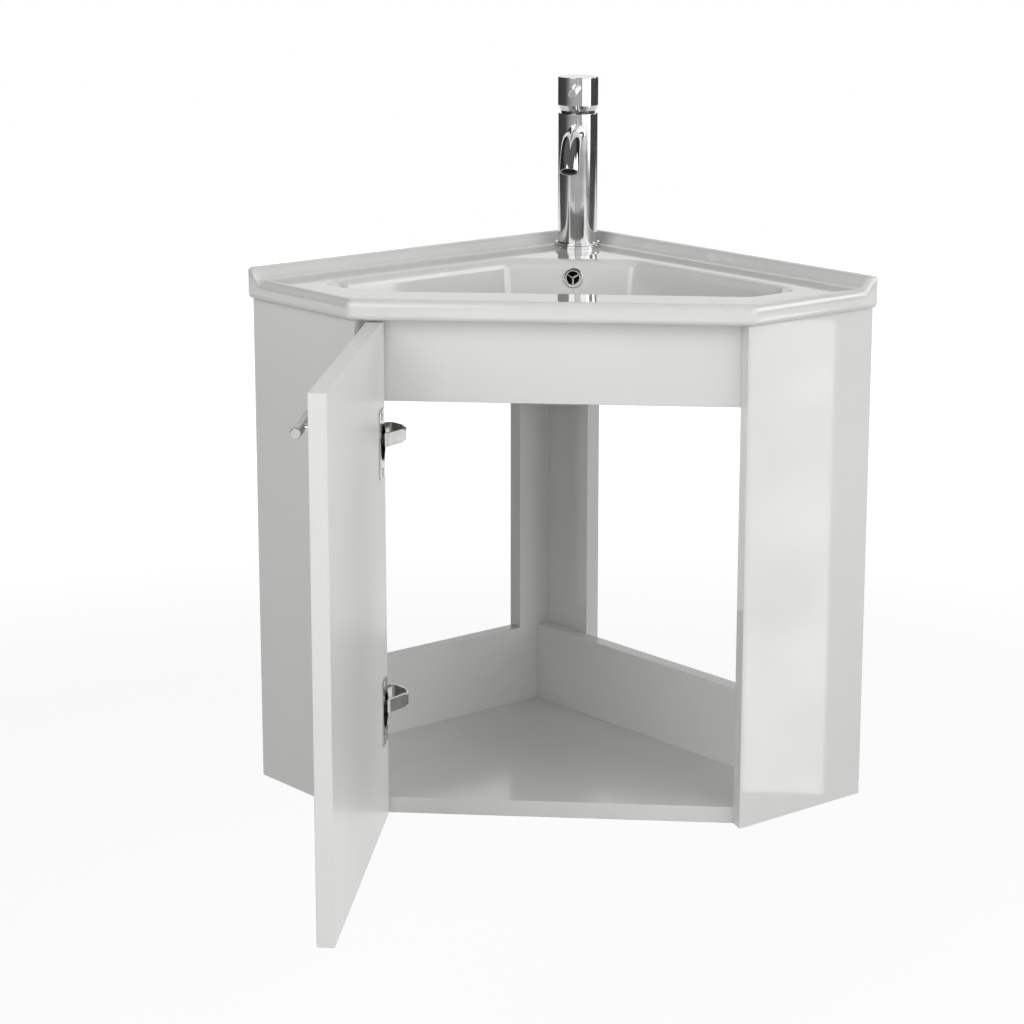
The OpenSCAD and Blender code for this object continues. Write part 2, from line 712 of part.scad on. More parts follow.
wall_tilt = 12;
roll_end_in = roll_r * cos(wall_tilt);
roll_end_drop = roll_r * (1 - sin(wall_tilt));
wall_end_drop = 45;
wall_end_in = roll_end_in + (wall_end_drop - roll_end_drop) * tan(wall_tilt);
under_in = roll_end_in + (deck_t - roll_end_drop) * tan(wall_tilt) - bowl_wall;
under_end_in = wall_end_in - bowl_wall;
under_drop = bowl_depth + waste_land_t;
blend_steps = [1, 0.8, 0.62, 0.46, 0.32, 0.2, 0.1];

function top_ring(d) =
    let (ring = basin_ring(d))
    [for (i = [0:len(ring) - 1])
        let (w = min(wall_u(ring[i]), wall_v(ring[i])))
        concat(ring[i], deck_z + upstand(w) - exposed[i] * drop(nose_top_r, d)
                        - (1 - exposed[i]) * drop(wall_edge_r, d))];

basin_rings = concat(
    // bowl, from the waste up to the straight wall
    [for (s = blend_steps)
        blend(bowl_ring(wall_end_in), waste_ring(waste_land_r, bowl_ring(wall_end_in)), s,
              deck_z - wall_end_drop - (bowl_depth - wall_end_drop) * (1 - pow(1 - s, 3)))],
    [level(bowl_ring(wall_end_in), deck_z - wall_end_drop)],
    // roll over the rim
    [for (a = [90 - wall_tilt:-13:0])
        level(bowl_ring(roll_r * sin(a)), deck_z - roll_r * (1 - cos(a)))],
    // deck, upstand and rounded edge
    [for (d = [upstand_w, 18, 15.5, 13, 10.5, nose_top_r, 6, 4, 2.4, 1.2, 0.4, 0]) top_ring(d)],
    [for (a = [0:22.5:90])
        level(basin_ring(nose_bottom_r * (1 - cos(a))), cab_h + nose_bottom_r * (1 - sin(a)))],
    // underside of the deck and of the bowl
    [level(bowl_ring(under_in), cab_h)],
    [level(bowl_ring(under_end_in), deck_z - wall_end_drop)],
    [for (i = [len(blend_steps) - 1:-1:0])
        let (s = blend_steps[i])
        blend(bowl_ring(under_end_in),
              waste_ring(waste_land_r + bowl_wall, bowl_ring(under_end_in)), s,
              deck_z - wall_end_drop - (under_drop - wall_end_drop) * (1 - pow(1 - s, 3)))]);

module ring_solid(rings) {
    n = len(rings[0]);
    m = len(rings);
    polyhedron(
        points = [for (r = rings) each r],
        faces = concat(
            [[for (j = [n - 1:-1:0]) j]],
            [for (i = [0:m - 2], j = [0:n - 1]) [i * n + j, i * n + (j + 1) % n,
                                                (i + 1) * n + (j + 1) % n]],
            [for (i = [0:m - 2], j = [0:n - 1]) [i * n + j, (i + 1) * n + (j + 1) % n,
                                                (i + 1) * n + j]],
            [[for (j = [0:n - 1]) (m - 1) * n + j]]),
        convexity = 6);
}

// The overflow sits in the bowl's back wall and leans with it
overflow_wall_y = -bowl_back_in - roll_end_in
                  - (overflow_drop - roll_end_drop) * tan(wall_tilt);
overflow_pocket = 14;
overflow_sleeve = 6;
overflow_chamber_wall = 6;
overflow_hole_d = 15;
module at_overflow() translate([overflow_side, overflow_wall_y, deck_z - overflow_drop])
    rotate([90 - wall_tilt, 0, 0]) children();

module basin() {
    color(ceramic_white) difference() {
        union() {
            ring_solid(basin_rings);
            // Chamber behind the overflow hole, on the bowl's outer side
            at_overflow() translate([0, 0, -overflow_pocket - overflow_chamber_wall])
                cylinder(d = overflow_hole_d + 2 * overflow_chamber_wall,
                         h = overflow_pocket + overflow_chamber_wall - bowl_wall / 2);
        }
        translate(concat(waste_at, deck_z - under_drop - 1))
            cylinder(d = waste_d, h = waste_land_t + 2);
        translate([0, -tap_out, cab_h - 1]) cylinder(d = tap_hole_d, h = deck_t + 2);
        at_overflow() translate([0, 0, -overflow_pocket])
            cylinder(d = overflow_hole_d, h = 2 * overflow_pocket);
    }
}

// Ring with three spokes, its sleeve pressed into the overflow hole
module overflow_ring() {
    bore = 12.8;
    rim = 1.6;
    color(chrome_grey) at_overflow() {
        difference() {
            union() {
                translate([0, 0, 0.3]) rotate_extrude() polygon([
                    [bore / 2, 0], [overflow_d / 2, 0], [overflow_d / 2, rim / 2],
                    [overflow_d / 2 - 1, rim], [bore / 2, rim]]);
                translate([0, 0, -overflow_sleeve])
                    cylinder(d = overflow_hole_d, h = overflow_sleeve + 0.3);
            }
            translate([0, 0, -overflow_sleeve - 1])
                cylinder(d = bore, h = 2 * overflow_sleeve);
        }
        for (a = [30:120:270]) rotate(a) translate([0, -0.8, -1])
            cube([bore / 2 + 0.3, 1.6, 1.8]);
    }
}

// ---- tap ----
body_z0 = deck_z + gasket_t;
body_top = deck_z + tap_h;
cartridge_z0 = body_top - 41.5;
cartridge_top = body_top - 11.5;
cartridge_nut_t = 3;
ball_z = body_top + ball_up;
spout_z = body_top - spout_drop;
spout_r = spout_d / 2;
spout_bore = spout_d - 2 * spout_wall;
inlet_at_y = -3;
stud_at_y = 9;
module at_tap(z) translate([0, -tap_out, z]) children();

module tap_gasket() {
    color(rubber_black) at_tap(deck_z) difference() {
        cylinder(d = tap_d, h = gasket_t);
        translate([0, 0, -1]) cylinder(d = tap_hole_d - 1, h = gasket_t + 2);
    }
}

module tap_foot_ring() {
    r = foot_ring_d / 2;
    step = foot_ring_h * 0.6;
    color(chrome_grey) at_tap(deck_z) rotate_extrude() polygon([
        [tap_d / 2, 0], [r, 0], [r, step - 0.8], [r - 0.3, step - 0.3], [r - 1, step],
        [r - 1, foot_ring_h - 0.6], [r - 1.6, foot_ring_h], [tap_d / 2, foot_ring_h]]);
}

module tap_body() {
    color(chrome_grey) difference() {
        at_tap(body_z0) rotate_extrude() polygon([
            [0, 0], [tap_d / 2, 0], [tap_d / 2, body_top - body_z0 - 0.5],
            [tap_d / 2 - 0.5, body_top - body_z0], [0, body_top - body_z0]]);
        at_tap(cartridge_z0) cylinder(d = cartridge_bore_d, h = 50);
        at_tap(spout_z) rotate([90, 0, 0]) cylinder(d = spout_bore - 3, h = tap_d);
        for (side = [-1, 1]) at_tap(body_z0 - 1)
            translate([side * inlet_gap / 2, inlet_at_y, 0])
                cylinder(d = inlet_d, h = inlet_depth + 1);
        at_tap(body_z0 - 1) translate([0, stud_at_y, 0]) cylinder(d = stud_d, h = 16);
    }
}

// The spout's centre line: straight out of the body, then an arc down and forward
module in_spout_bend() at_tap(spout_z) translate([0, -spout_straight, -spout_bend_r])
    rotate([90, 0, 90]) children();
module spout_tube(d) {
    at_tap(spout_z) rotate([90, 0, 0]) cylinder(d = d, h = spout_straight);
    in_spout_bend() rotate(90) rotate_extrude(angle = spout_bend)
        translate([spout_bend_r, 0]) circle(d = d);
}
module spout() {
    color(chrome_grey) difference() {
        spout_tube(spout_d);
        spout_tube(spout_bore);
        at_tap(0) cylinder(d = tap_d, h = body_top);
    }
}

// The aerator lies just inside the outlet and follows the bend
module aerator() {
    recess_angle = 1.2;
    depth_angle = 9;
    color(plastic_black) in_spout_bend()
        rotate(90 + spout_bend - recess_angle - depth_angle)
            rotate_extrude(angle = depth_angle) translate([spout_bend_r, 0])
                circle(d = spout_bore - 0.1);
}

module cartridge() {
    color(plastic_black) at_tap(cartridge_z0) difference() {
        cylinder(d = cartridge_bore_d - 0.2, h = cartridge_top - cartridge_z0);
        translate([0, 0, 6]) cylinder(d = spindle_d + 0.1, h = 40);
    }
}

module cartridge_nut() {
    color(brass_yellow) at_tap(cartridge_top) difference() {
        cylinder(d = cartridge_bore_d, h = cartridge_nut_t);
        translate([0, 0, -1]) cylinder(d = spindle_d + 4, h = cartridge_nut_t + 2);
    }
}

// ---- tap's fixing under the deck ----
clamp_t = 2;
nut_h = 6.5;
module tap_stud() {
    bottom = cab_h - 2 * clamp_t - nut_h - 20;
    color(steel_grey) at_tap(bottom) translate([0, stud_at_y, 0])
        cylinder(d = stud_d, h = body_z0 + 15 - bottom);
}
// Horseshoe that bridges the tap hole and lets the hoses pass
module horseshoe(z) {
    at_tap(z) difference() {
        cylinder(d = tap_hole_d + 9, h = clamp_t);
        translate([-inlet_gap / 2 - 6, -40, -1]) cube([inlet_gap + 12, 43, clamp_t + 2]);
        translate([0, stud_at_y, -1]) cylinder(d = stud_d, h = clamp_t + 2);
    }
}
module clamp_rubber() color(rubber_black) horseshoe(cab_h - clamp_t);
module clamp_plate() color(steel_grey) horseshoe(cab_h - 2 * clamp_t);
module clamp_nut() {
    color(brass_yellow) at_tap(cab_h - 2 * clamp_t - nut_h) translate([0, stud_at_y, 0])
        difference() {
            cylinder(d = 15, h = nut_h, $fn = 6);
            translate([0, 0, -1]) cylinder(d = stud_d, h = nut_h + 2);
        }
}

// ---- lever ----
axle_d = 3;
axle_half = cap_d / 2 - 1.4;
cap_bore_r = 17;
ball_cut = 14.4;
module cartridge_spindle() {
    z0 = cartridge_z0 + 6.5;
    color(brass_yellow) difference() {
        at_tap(z0) cylinder(d = spindle_d, h = ball_z + 6 - z0);
        at_ball() lever_axle_shape(0);
    }
}
module at_ball() at_tap(ball_z) children();
module lever_axle_shape(extra) rotate([0, 90, 0])
    translate([0, 0, -axle_half - 3 * extra])
        cylinder(d = axle_d + 2 * extra, h = 2 * axle_half + 6 * extra);
module lever_axle() color(steel_grey) at_ball() lever_axle_shape(0);

module lever_cap() {
    skirt = sqrt(pow(ball_r, 2) - pow(cap_d / 2, 2));
    color(chrome_grey) at_ball() difference() {
        union() {
            intersection() {
                sphere(r = ball_r, $fn = 96);
                translate([0, 0, -ball_cut]) cylinder(r = ball_r, h = ball_cut);
            }
            translate([0, 0, -skirt]) rotate_extrude() polygon([
                [0, 0], [cap_d / 2, 0], [cap_d / 2, skirt + cap_up - 0.8],
                [cap_d / 2 - 0.3, skirt + cap_up - 0.25],
                [cap_d / 2 - 0.8, skirt + cap_up], [0, skirt + cap_up]]);
        }
        cylinder(r = cap_bore_r, h = cap_up - 4);
        sphere(r = cap_bore_r, $fn = 96);
        translate([0, 0, -ball_cut - 1]) cylinder(r = 12.4, h = 8);
        lever_axle_shape(pin_clear);
        lever_pin_shape();
    }
}
lever_seat = 17.6;
module lever_pin_shape() {
    len = lever_reach - lever_seat;
    translate([0, -lever_seat, lever_up]) rotate([90, 0, 0]) rotate_extrude() polygon([
        [0, 0], [lever_d / 2, 0], [lever_d / 2, len - 0.6], [lever_d / 2 - 0.6, len], [0, len]]);
}
module lever_pin() color(chrome_grey) at_ball() lever_pin_shape();

left_side_panel();
right_side_panel();
floor_panel();
front_fascia();
left_back_panel();
right_lower_rail();
right_upper_rail();
right_back_post();
panel_dowels();
fascia_blocks();
hinge_plate_upper();
hinge_plate_lower();
hinge_plate_screws();
hinge_arm_upper();
hinge_arm_lower();
hinge_arm_screws();
door_panel();
hinge_cup_upper();
hinge_cup_lower();
hinge_cup_screws();
hinge_pin_upper();
hinge_pin_lower();
handle_bar();
handle_posts();
handle_studs();
basin();
overflow_ring();
tap_gasket();
tap_foot_ring();
tap_body();
spout();
aerator();
cartridge();
cartridge_nut();
tap_stud();
clamp_rubber();
clamp_plate();
clamp_nut();
cartridge_spindle();
lever_axle();
lever_cap();
lever_pin();
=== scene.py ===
# %% [markdown]
# # A corner vanity unit
#
# This lesson dresses a small bathroom unit that hangs in the corner of a room: a cabinet of
# white high-gloss boards, a glazed ceramic basin, a chrome mixer tap and one open door.
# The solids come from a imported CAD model. Here they get softened edges, finishes and light.

# %% Load the frame
import json
from math import cos, degrees, pi, radians, sin, sqrt, tan

import bmesh
import bpy
from mathutils import Matrix, Vector


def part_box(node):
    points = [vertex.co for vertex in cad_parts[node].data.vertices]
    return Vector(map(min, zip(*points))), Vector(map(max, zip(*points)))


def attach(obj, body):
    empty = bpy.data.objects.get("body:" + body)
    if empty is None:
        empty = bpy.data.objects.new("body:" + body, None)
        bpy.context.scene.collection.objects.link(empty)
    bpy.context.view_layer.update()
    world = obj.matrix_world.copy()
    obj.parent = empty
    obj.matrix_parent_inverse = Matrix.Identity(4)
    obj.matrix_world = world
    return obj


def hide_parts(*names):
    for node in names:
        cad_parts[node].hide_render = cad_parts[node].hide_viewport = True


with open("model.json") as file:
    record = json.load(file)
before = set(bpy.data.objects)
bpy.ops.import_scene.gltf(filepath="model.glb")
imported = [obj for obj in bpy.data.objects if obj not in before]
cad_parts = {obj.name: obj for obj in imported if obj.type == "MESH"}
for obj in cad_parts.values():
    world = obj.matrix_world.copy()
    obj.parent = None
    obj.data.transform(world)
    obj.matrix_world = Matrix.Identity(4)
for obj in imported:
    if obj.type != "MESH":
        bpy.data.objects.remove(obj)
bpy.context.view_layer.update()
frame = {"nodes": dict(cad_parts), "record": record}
nodes = frame["nodes"]
MM = 0.001
print("CAD nodes:", len(nodes))

# %% [markdown]
# ## The camera
#
# The photograph was taken from three metres in front of the corner, a little to the right and
# above the basin. A long lens keeps the upright edges nearly parallel. The place, tilt and
# lens were worked out from the straight edges of the unit.

# %% Camera
camera_at = Vector((212.34, -3041.77, 951.25)) * MM
camera_pitch, camera_turn = 13.74, 5.38
camera_lens, sensor_width = 102.5, 36


def new_object(name, data):
    """An object for the data, linked into the scene."""
    made = bpy.data.objects.new(name, data)
    bpy.context.scene.collection.objects.link(made)
    return made


camera = new_object("photo_camera", bpy.data.cameras.new("photo_camera"))
camera.data.lens, camera.data.sensor_width = camera_lens, sensor_width
camera.location = camera_at
camera.rotation_euler = (radians(90 - camera_pitch), 0, radians(camera_turn))
bpy.context.scene.camera = camera
print("Camera height, mm:", round(camera_at.z / MM))

# %% [markdown]
# ## Helpers for materials
#
# One function turns a colour's sRGB hex value to the linear values that the shader wants.
# Another adds a node with its settings and links, to a tree for shaders or for shapes.

# %% Colours and nodes
def linear(hex_colour):
    channels = [int(hex_colour[i:i + 2], 16) / 255 for i in (1, 3, 5)]
    return [c / 12.92 if c <= 0.04045 else ((c + 0.055) / 1.055) ** 2.4 for c in channels] + [1]


def add(tree, kind, *values, **named):
    """Adds a node, or takes one that is there, and gives it its settings and links.

    Values go to its inputs in order. A capitalised name is an input, and a name in small
    letters a setting. A node given as a value stands for its first output.
    """
    node = tree.nodes.new(kind) if isinstance(kind, str) else kind
    for name, value in named.items():
        if name[0].islower():
            setattr(node, name, value)
    given = list(zip(node.inputs, values)) + [
        (node.inputs[name.replace("_", " ")], value) for name, value in named.items()
        if name[0].isupper()]
    for socket, value in given:
        if isinstance(value, bpy.types.Node):
            value = value.outputs[0]
        if isinstance(value, bpy.types.NodeSocket):
            tree.links.new(value, socket)
        else:
            socket.default_value = value
    return node


# %% [markdown]
# No finish on this unit has a quite even colour or a quite flat surface. So one function
# makes them all: noise on the object's own coordinates drifts between two close tones, and
# noise raises the surface by a real height.

# %% A finish of two tones and a fine relief
def new_material(name, **values):
    """A material, its tree, and its Principled shader with these values."""
    material = bpy.data.materials.new(name)
    material.use_nodes = True
    tree = material.node_tree
    return material, tree, add(tree, tree.nodes["Principled BSDF"], **values)


def finish(name, dark, light, cloud_mm, height_mm, detail=2, half_blend=0.2, wave_mm=None,
           wave_roughness=0.5, stretch=(1, 1, 1), **values):
    """The tone drifts in clouds cloud_mm across. The relief follows them, or its own waves."""
    material, tree, shader = new_material(name, **values)
    place = add(tree, "ShaderNodeMapping", add(tree, "ShaderNodeTexCoord").outputs["Object"],
                Scale=stretch)
    clouds = relief = add(tree, "ShaderNodeTexNoise", Vector=place, Detail=detail,
                          Scale=1 / (cloud_mm * MM), name="clouds")
    if wave_mm:
        relief = add(tree, "ShaderNodeTexNoise", Vector=place, Detail=1,
                     Roughness=wave_roughness, Scale=1 / (wave_mm * MM))
    tone = add(tree, "ShaderNodeValToRGB", clouds)
    for stop, side, colour in zip(tone.color_ramp.elements, (-1, 1), (dark, light)):
        stop.position, stop.color = 0.5 + side * half_blend, linear(colour)
    bumps = add(tree, "ShaderNodeBump", Height=relief, Distance=height_mm * MM)
    add(tree, shader, Base_Color=tone, Normal=bumps)
    return material


# %% [markdown]
# ## White boards
#
# The boards are MDF under a thick sprayed lacquer that is polished to a mirror. Up close the
# lacquer has a faint orange peel: soft waves a few millimetres apart and a few thousandths
# of a millimetre high. They make reflections ripple a little, which tells lacquer from glass.
# The boards inside have a pressed melamine face, and the door a satin lacquer whose tone is
# painted whiter than the other boards, as painted light.

# %% Lacquer and melamine
def white_board(name, dark, light, roughness, wave_mm, height_mm):
    return finish(name, dark, light, 160, height_mm, wave_mm=wave_mm, wave_roughness=0.4,
                  Roughness=roughness, IOR=1.5)


# Sharp reflections that ripple
lacquer = white_board("white_gloss_lacquer_on_mdf", "#E5E5E3", "#E9E9E7", 0.03, 7, 0.003)
# Blurred reflections over a fine pressed grain
melamine = white_board("white_gloss_melamine_on_board", "#E3E3E1", "#E7E7E5", 0.14, 1.4, 0.006)
# A soft sheen and no mirror, and a tone painted whiter as painted light, so the door reads as
# the whitest board
door_lacquer_painted_lit = white_board("white_satin_lacquer_painted_lighter", "#F1F1EF", "#F5F5F3", 0.3, 3, 0.006)

# %% [markdown]
# ## Glazed ceramic
#
# The basin is fireclay under a white glaze. The glaze is glass, so it reflects sharply, and
# it pooled while it was molten, so the surface undulates over centimetres. It doesn't reach
# into the overflow, and the clay there is painted nearly black, as painted shade in the deep
# hole.

# %% Glaze, and painted shade in the overflow
# A wet, deep gloss whose highlights bend slowly
glaze = finish("white_glazed_fireclay", "#E6E6E3", "#EAEAE7", 90, 0.035, wave_mm=28,
               Roughness=0.04, IOR=1.5, Coat_Weight=0.4, Coat_Roughness=0.03)
# A dull, nearly black painted shade in the overflow's hollow
overflow_painted_shade = finish("overflow_clay_painted_shade", "#26241F", "#3A362F", 6, 0.1, detail=3,
                   half_blend=0.15, Roughness=0.9)

# %% [markdown]
# ## Metals
#
# The tap is brass with a bright chrome plate, which is nearly a mirror. The handle is satin
# stainless steel, and the hinges are nickel-plated pressed steel, a little duller than chrome.
# Polish is never even, so the clouds also change each metal's roughness.

# %% Metals
def metal(name, dark, light, roughness, smear_mm, height_mm):
    made = finish(name, dark, light, smear_mm, height_mm, detail=3, Metallic=1.0,
                  Roughness=roughness)
    tree = made.node_tree
    spread = add(tree, "ShaderNodeMapRange", Value=tree.nodes["clouds"],
                 To_Min=roughness * 0.7, To_Max=roughness * 1.4)
    add(tree, tree.nodes["Principled BSDF"], Roughness=spread)
    return made


# A cool mirror that shows the room in stripes
chrome = metal("polished_chrome_plate", "#BDBEBD", "#C8C9C8", 0.08, 18, 0.002)
# A warmer mirror, slightly veiled
nickel = metal("nickel_plated_pressed_steel", "#B4B3B0", "#C8C7C3", 0.12, 14, 0.002)
# A pale bar with one broad, soft highlight
satin_steel = metal("satin_stainless_steel", "#C6C4C1", "#CAC8C5", 0.3, 20, 0.0005)
# A grey, spangled shine
zinc = metal("zinc_plated_steel", "#A7A6A2", "#C0BFBA", 0.32, 5, 0.01)
# Yellow, with the faint streaks of a cutting tool
brass = metal("machined_brass", "#B08D45", "#C9A65B", 0.28, 7, 0.01)

# %% [markdown]
# ## Rubber, plastic and beech
#
# These pieces show from below or behind. Rubber and plastic have a fine moulded grain, and
# beech dowels a straight grain, drawn as stretched noise.

# %% Rubber, plastic and beech
# Matt, nearly black, with no highlight
rubber = finish("black_rubber", "#161616", "#222222", 1.2, 0.03, half_blend=0.15,
                Roughness=0.75)
# Black with a dull moulded sheen
plastic = finish("black_acetal", "#0C0C0C", "#161616", 0.8, 0.02, half_blend=0.15,
                 Roughness=0.45)
# Warm tan with short fine streaks along the dowel, ten times as long as they are wide
beech = finish("beech_wood", "#C49A67", "#DDBB8B", 2 / 9, 0.05, detail=4,
               stretch=(1, 1, 0.1), Roughness=0.6)

# %% [markdown]
# ## Finishes for the CAD nodes
#
# Each node names its material slot in the record, and the slot names the finish. Some nodes
# have a finish of their own, such as the duller zinc plate on threaded and clamped steel.

# %% Assign the finishes
SLOT = {part["node"]: part["material_slot"] for part in frame["record"]["subparts"]}
BODY = {node: body for body, names in frame["record"]["behaviour"]["bodies"].items()
        for node in names}
SHOWN_BOARDS = ("left_side_panel", "right_side_panel", "floor_panel", "front_fascia")
BACK_BOARDS = ("left_back_panel", "right_lower_rail", "right_upper_rail", "right_back_post")
SLOT_FINISH = {"white_board": lacquer, "basin_ceramic": glaze, "chrome": chrome,
               "steel": nickel, "brass": brass, "rubber": rubber, "black_plastic": plastic,
               "beech": beech}
# The door takes the satin lacquer whose tone is painted lighter, as painted light.
OTHER_FINISH = {"door_panel": door_lacquer_painted_lit, "floor_panel": melamine, "handle_bar": satin_steel,
                **dict.fromkeys(BACK_BOARDS, melamine), "handle_posts": chrome,
                **dict.fromkeys(("tap_stud", "clamp_plate", "handle_studs"), zinc)}


def finish_for(node):
    return OTHER_FINISH.get(node, SLOT_FINISH[SLOT[node]])


def paint(piece, node):
    piece.data.materials.clear()
    piece.data.materials.append(finish_for(node))


for name, piece in nodes.items():
    paint(piece, name)
print("Finishes in use:", len(set(finish_for(n).name for n in nodes)))

# %% [markdown]
# ## Softened edges
#
# No sprayed or pressed edge is perfectly sharp, and a rounded edge catches the light as a
# thin line. So a node's loose triangles are welded, the ones in one plane are joined, and
# every sharp edge is bevelled. The result stands for the node in the scene.

# %% Mesh helpers
def plain_mesh(carrier, *spent):
    """The carrier's shape after its modifiers, as a mesh of its own. The carrier goes."""
    mesh = bpy.data.meshes.new_from_object(
        carrier.evaluated_get(bpy.context.evaluated_depsgraph_get()))
    for used in (carrier, *spent):
        bpy.data.objects.remove(used)
    return mesh


def surface_of(mesh):
    surface = bmesh.new()
    surface.from_mesh(mesh)
    return surface


def mesh_of(surface):
    mesh = bpy.data.meshes.new("draft")
    surface.to_mesh(mesh)
    surface.free()
    return mesh


def weld(surface, within_mm=0.001):
    bmesh.ops.remove_doubles(surface, verts=surface.verts, dist=within_mm * MM)


def welded(node, flat_within=0.6):
    """The node's mesh as one clean surface, with flat regions joined."""
    surface = surface_of(nodes[node].data)
    weld(surface, 0.002)
    bmesh.ops.dissolve_limit(surface, angle_limit=radians(flat_within),
                             verts=surface.verts, edges=surface.edges)
    return surface


def bevel_sharp(surface, radius_mm, segments, least_angle=35):
    """Rounds every edge that turns by more than least_angle."""
    sharp = [e for e in surface.edges
             if len(e.link_faces) == 2 and e.calc_face_angle(0) > radians(least_angle)]
    bmesh.ops.bevel(surface, geom=sharp, offset=radius_mm * MM, segments=segments,
                    profile=0.5, affect="EDGES", clamp_overlap=False)


def stand_in(surface, name, node, crease_angle=40):
    """Puts the surface in the scene for the node. Flats stay flat and rounds shade smoothly."""
    mesh = mesh_of(surface)
    mesh.shade_smooth()
    mesh.set_sharp_from_angle(angle=radians(crease_angle))
    carrier = new_object("draft", mesh)
    weighted = carrier.modifiers.new("weighted", "WEIGHTED_NORMAL")
    weighted.keep_sharp, weighted.weight = True, 100
    piece = new_object(name, plain_mesh(carrier))
    piece.data.name = name
    paint(piece, node)
    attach(piece, BODY[node])
    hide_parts(node)
    return piece


def softened(node, radius_mm, segments=2):
    surface = welded(node)
    bevel_sharp(surface, radius_mm, segments)
    return stand_in(surface, f"{node}_soft", node)


# %% [markdown]
# ## The cabinet's boards
#
# Each board is sprayed all round, with its edges broken by a sanding block to a radius of
# about 0.7 mm. The hidden back boards are left a little sharper.

# %% Boards
for name in SHOWN_BOARDS + BACK_BOARDS + ("door_panel",):
    softened(name, *((0.5, 2) if name in BACK_BOARDS else (0.7, 3)))
print("Boards with softened edges:", len(SHOWN_BOARDS + BACK_BOARDS) + 1)

# %% [markdown]
# ## Turned pieces
#
# The tap's body, its foot ring, the lever's cap and the handle's bar all come off a lathe. A
# lathe part is one outline turned round an axis, so one helper rounds the corners of a list
# of [radius, height] pairs, and another sweeps it through a full turn.

# %% Lathe helpers
def rounded(outline, radii, steps=6):
    """The open outline with an arc of the given radius in place of each inner corner."""
    points = [Vector(outline[0])]
    for k in range(1, len(outline) - 1):
        corner, radius = Vector(outline[k]), radii[k - 1]
        to_last = (Vector(outline[k - 1]) - corner).normalized()
        to_next = (Vector(outline[k + 1]) - corner).normalized()
        half = to_last.angle(to_next) / 2
        if radius == 0 or half > radians(89.5):
            points.append(corner)
            continue
        cut = radius / tan(half)
        centre = corner + (to_last + to_next).normalized() * radius / sin(half)
        start, end = corner + to_last * cut - centre, corner + to_next * cut - centre
        points += [centre + start.slerp(end, i / steps) * radius for i in range(steps + 1)]
    return points + [Vector(outline[-1])]


def turned(outline, segments=128, closed=False):
    """A surface turned from an outline in millimetres, about Z. Ends on the axis are closed."""
    surface = bmesh.new()
    rings = []
    for radius, height in outline:
        steps = range(segments if radius > 1e-6 else 1)
        rings.append([surface.verts.new((radius * MM * cos(a), radius * MM * sin(a),
                                         height * MM))
                      for a in (2 * pi * i / segments for i in steps)])
    pairs = list(zip(rings, rings[1:])) + ([(rings[-1], rings[0])] if closed else [])
    for low, high in pairs:
        for i in range(segments):
            j = (i + 1) % segments
            corners = dict.fromkeys((low[i % len(low)], low[j % len(low)],
                                     high[j % len(high)], high[i % len(high)]))
            if len(corners) > 2:
                surface.faces.new(list(corners))
    bmesh.ops.recalc_face_normals(surface, faces=surface.faces)
    return surface


def rod(radius, z0, z1, segments=64):
    return turned([(0, z0), (radius, z0), (radius, z1), (0, z1)], segments)


# %% [markdown]
# Holes are cut with the exact Boolean solver. Places are matrices, and each product is read
# from right to left, from the piece's own axis to the unit.

# %% Cutting and placing
def combined(surface, operation, *cutters):
    """Joins each cutter's volume to the surface, or takes it away."""
    body = new_object("body", mesh_of(surface))
    tools = [new_object("cutter", mesh_of(cutter)) for cutter in cutters]
    for tool in tools:
        step = body.modifiers.new("cut", "BOOLEAN")
        step.operation, step.solver, step.object = operation, "EXACT", tool
    return surface_of(plain_mesh(body, *tools))


def cut_away(surface, *cutters):
    return combined(surface, "DIFFERENCE", *cutters)


def moved(surface, matrix):
    bmesh.ops.transform(surface, matrix=matrix, verts=surface.verts)
    return surface


def at(x, y, z):
    return Matrix.Translation(Vector((x, y, z)) * MM)


def turn(angle, axis):
    return Matrix.Rotation(radians(angle), 4, axis)


# %% [markdown]
# ## The basin
#
# A fireclay basin is cast in a plaster mould, so no line on it is sharp. Its form follows a
# rule: rings of one outline, the corner of the room with its point cut off, step up from the
# waste, over the rim, across the deck, up the upstand's cove and down the front edge to the
# underside. The solid has the same rings with fewer steps, so this finer skin stays within
# a few tenths of a millimetre of it.

# %% The basin's outlines in plan
deck_z, cab_h, deck_t = 504.0, 484.0, 20.0
wall_leg, side_w, board = 420.0, 163.0, 16.0
tip_overhang, nose_overhang, wall_nick = 6.5, 4.0, 5.0
basin_leg = wall_leg + tip_overhang
root2 = sqrt(2)


def wall_point(u, v):
    """A plan place: u out along the right wall, v out along the left wall."""
    return Vector(((u - v) / root2, -(u + v) / root2))


basin_front_y = wall_point(wall_leg, side_w).y - nose_overhang
basin_end_w = -basin_front_y * root2 - basin_leg
basin_corners = [wall_point(*place) for place in (
    (wall_nick, 0), (0, wall_nick), (0, basin_leg), (basin_end_w, basin_leg),
    (basin_leg, basin_end_w), (basin_leg, 0))]
basin_radii = [2, 2, 3, 12, 12, 3]
bowl_wall_in, bowl_back_in, deck_end_w, deck_front_w = 58.0, 150.0, 36.0, 49.0
bowl_u_end = basin_leg - deck_end_w
bowl_front_y = basin_front_y + deck_front_w
bowl_front_v = -bowl_front_y * root2 - bowl_u_end
bowl_back_v = bowl_back_in * root2 - bowl_wall_in
bowl_corners = [wall_point(*place) for place in (
    (bowl_back_v, bowl_wall_in), (bowl_wall_in, bowl_back_v), (bowl_wall_in, bowl_u_end),
    (bowl_front_v, bowl_u_end), (bowl_u_end, bowl_front_v), (bowl_u_end, bowl_wall_in))]
bowl_radii = [14, 14, 26, 24, 24, 26]
waste_at = Vector((0, (bowl_front_y - bowl_back_in) / 2))
print("Bowl runs from Y", round(-bowl_back_in, 1), "to", round(bowl_front_y, 1), "mm")

# %% [markdown]
# Every ring has the same count of points, so that the rings can be joined one to one. The
# ends have more points near the walls, where the upstand rises and the nose fades out.

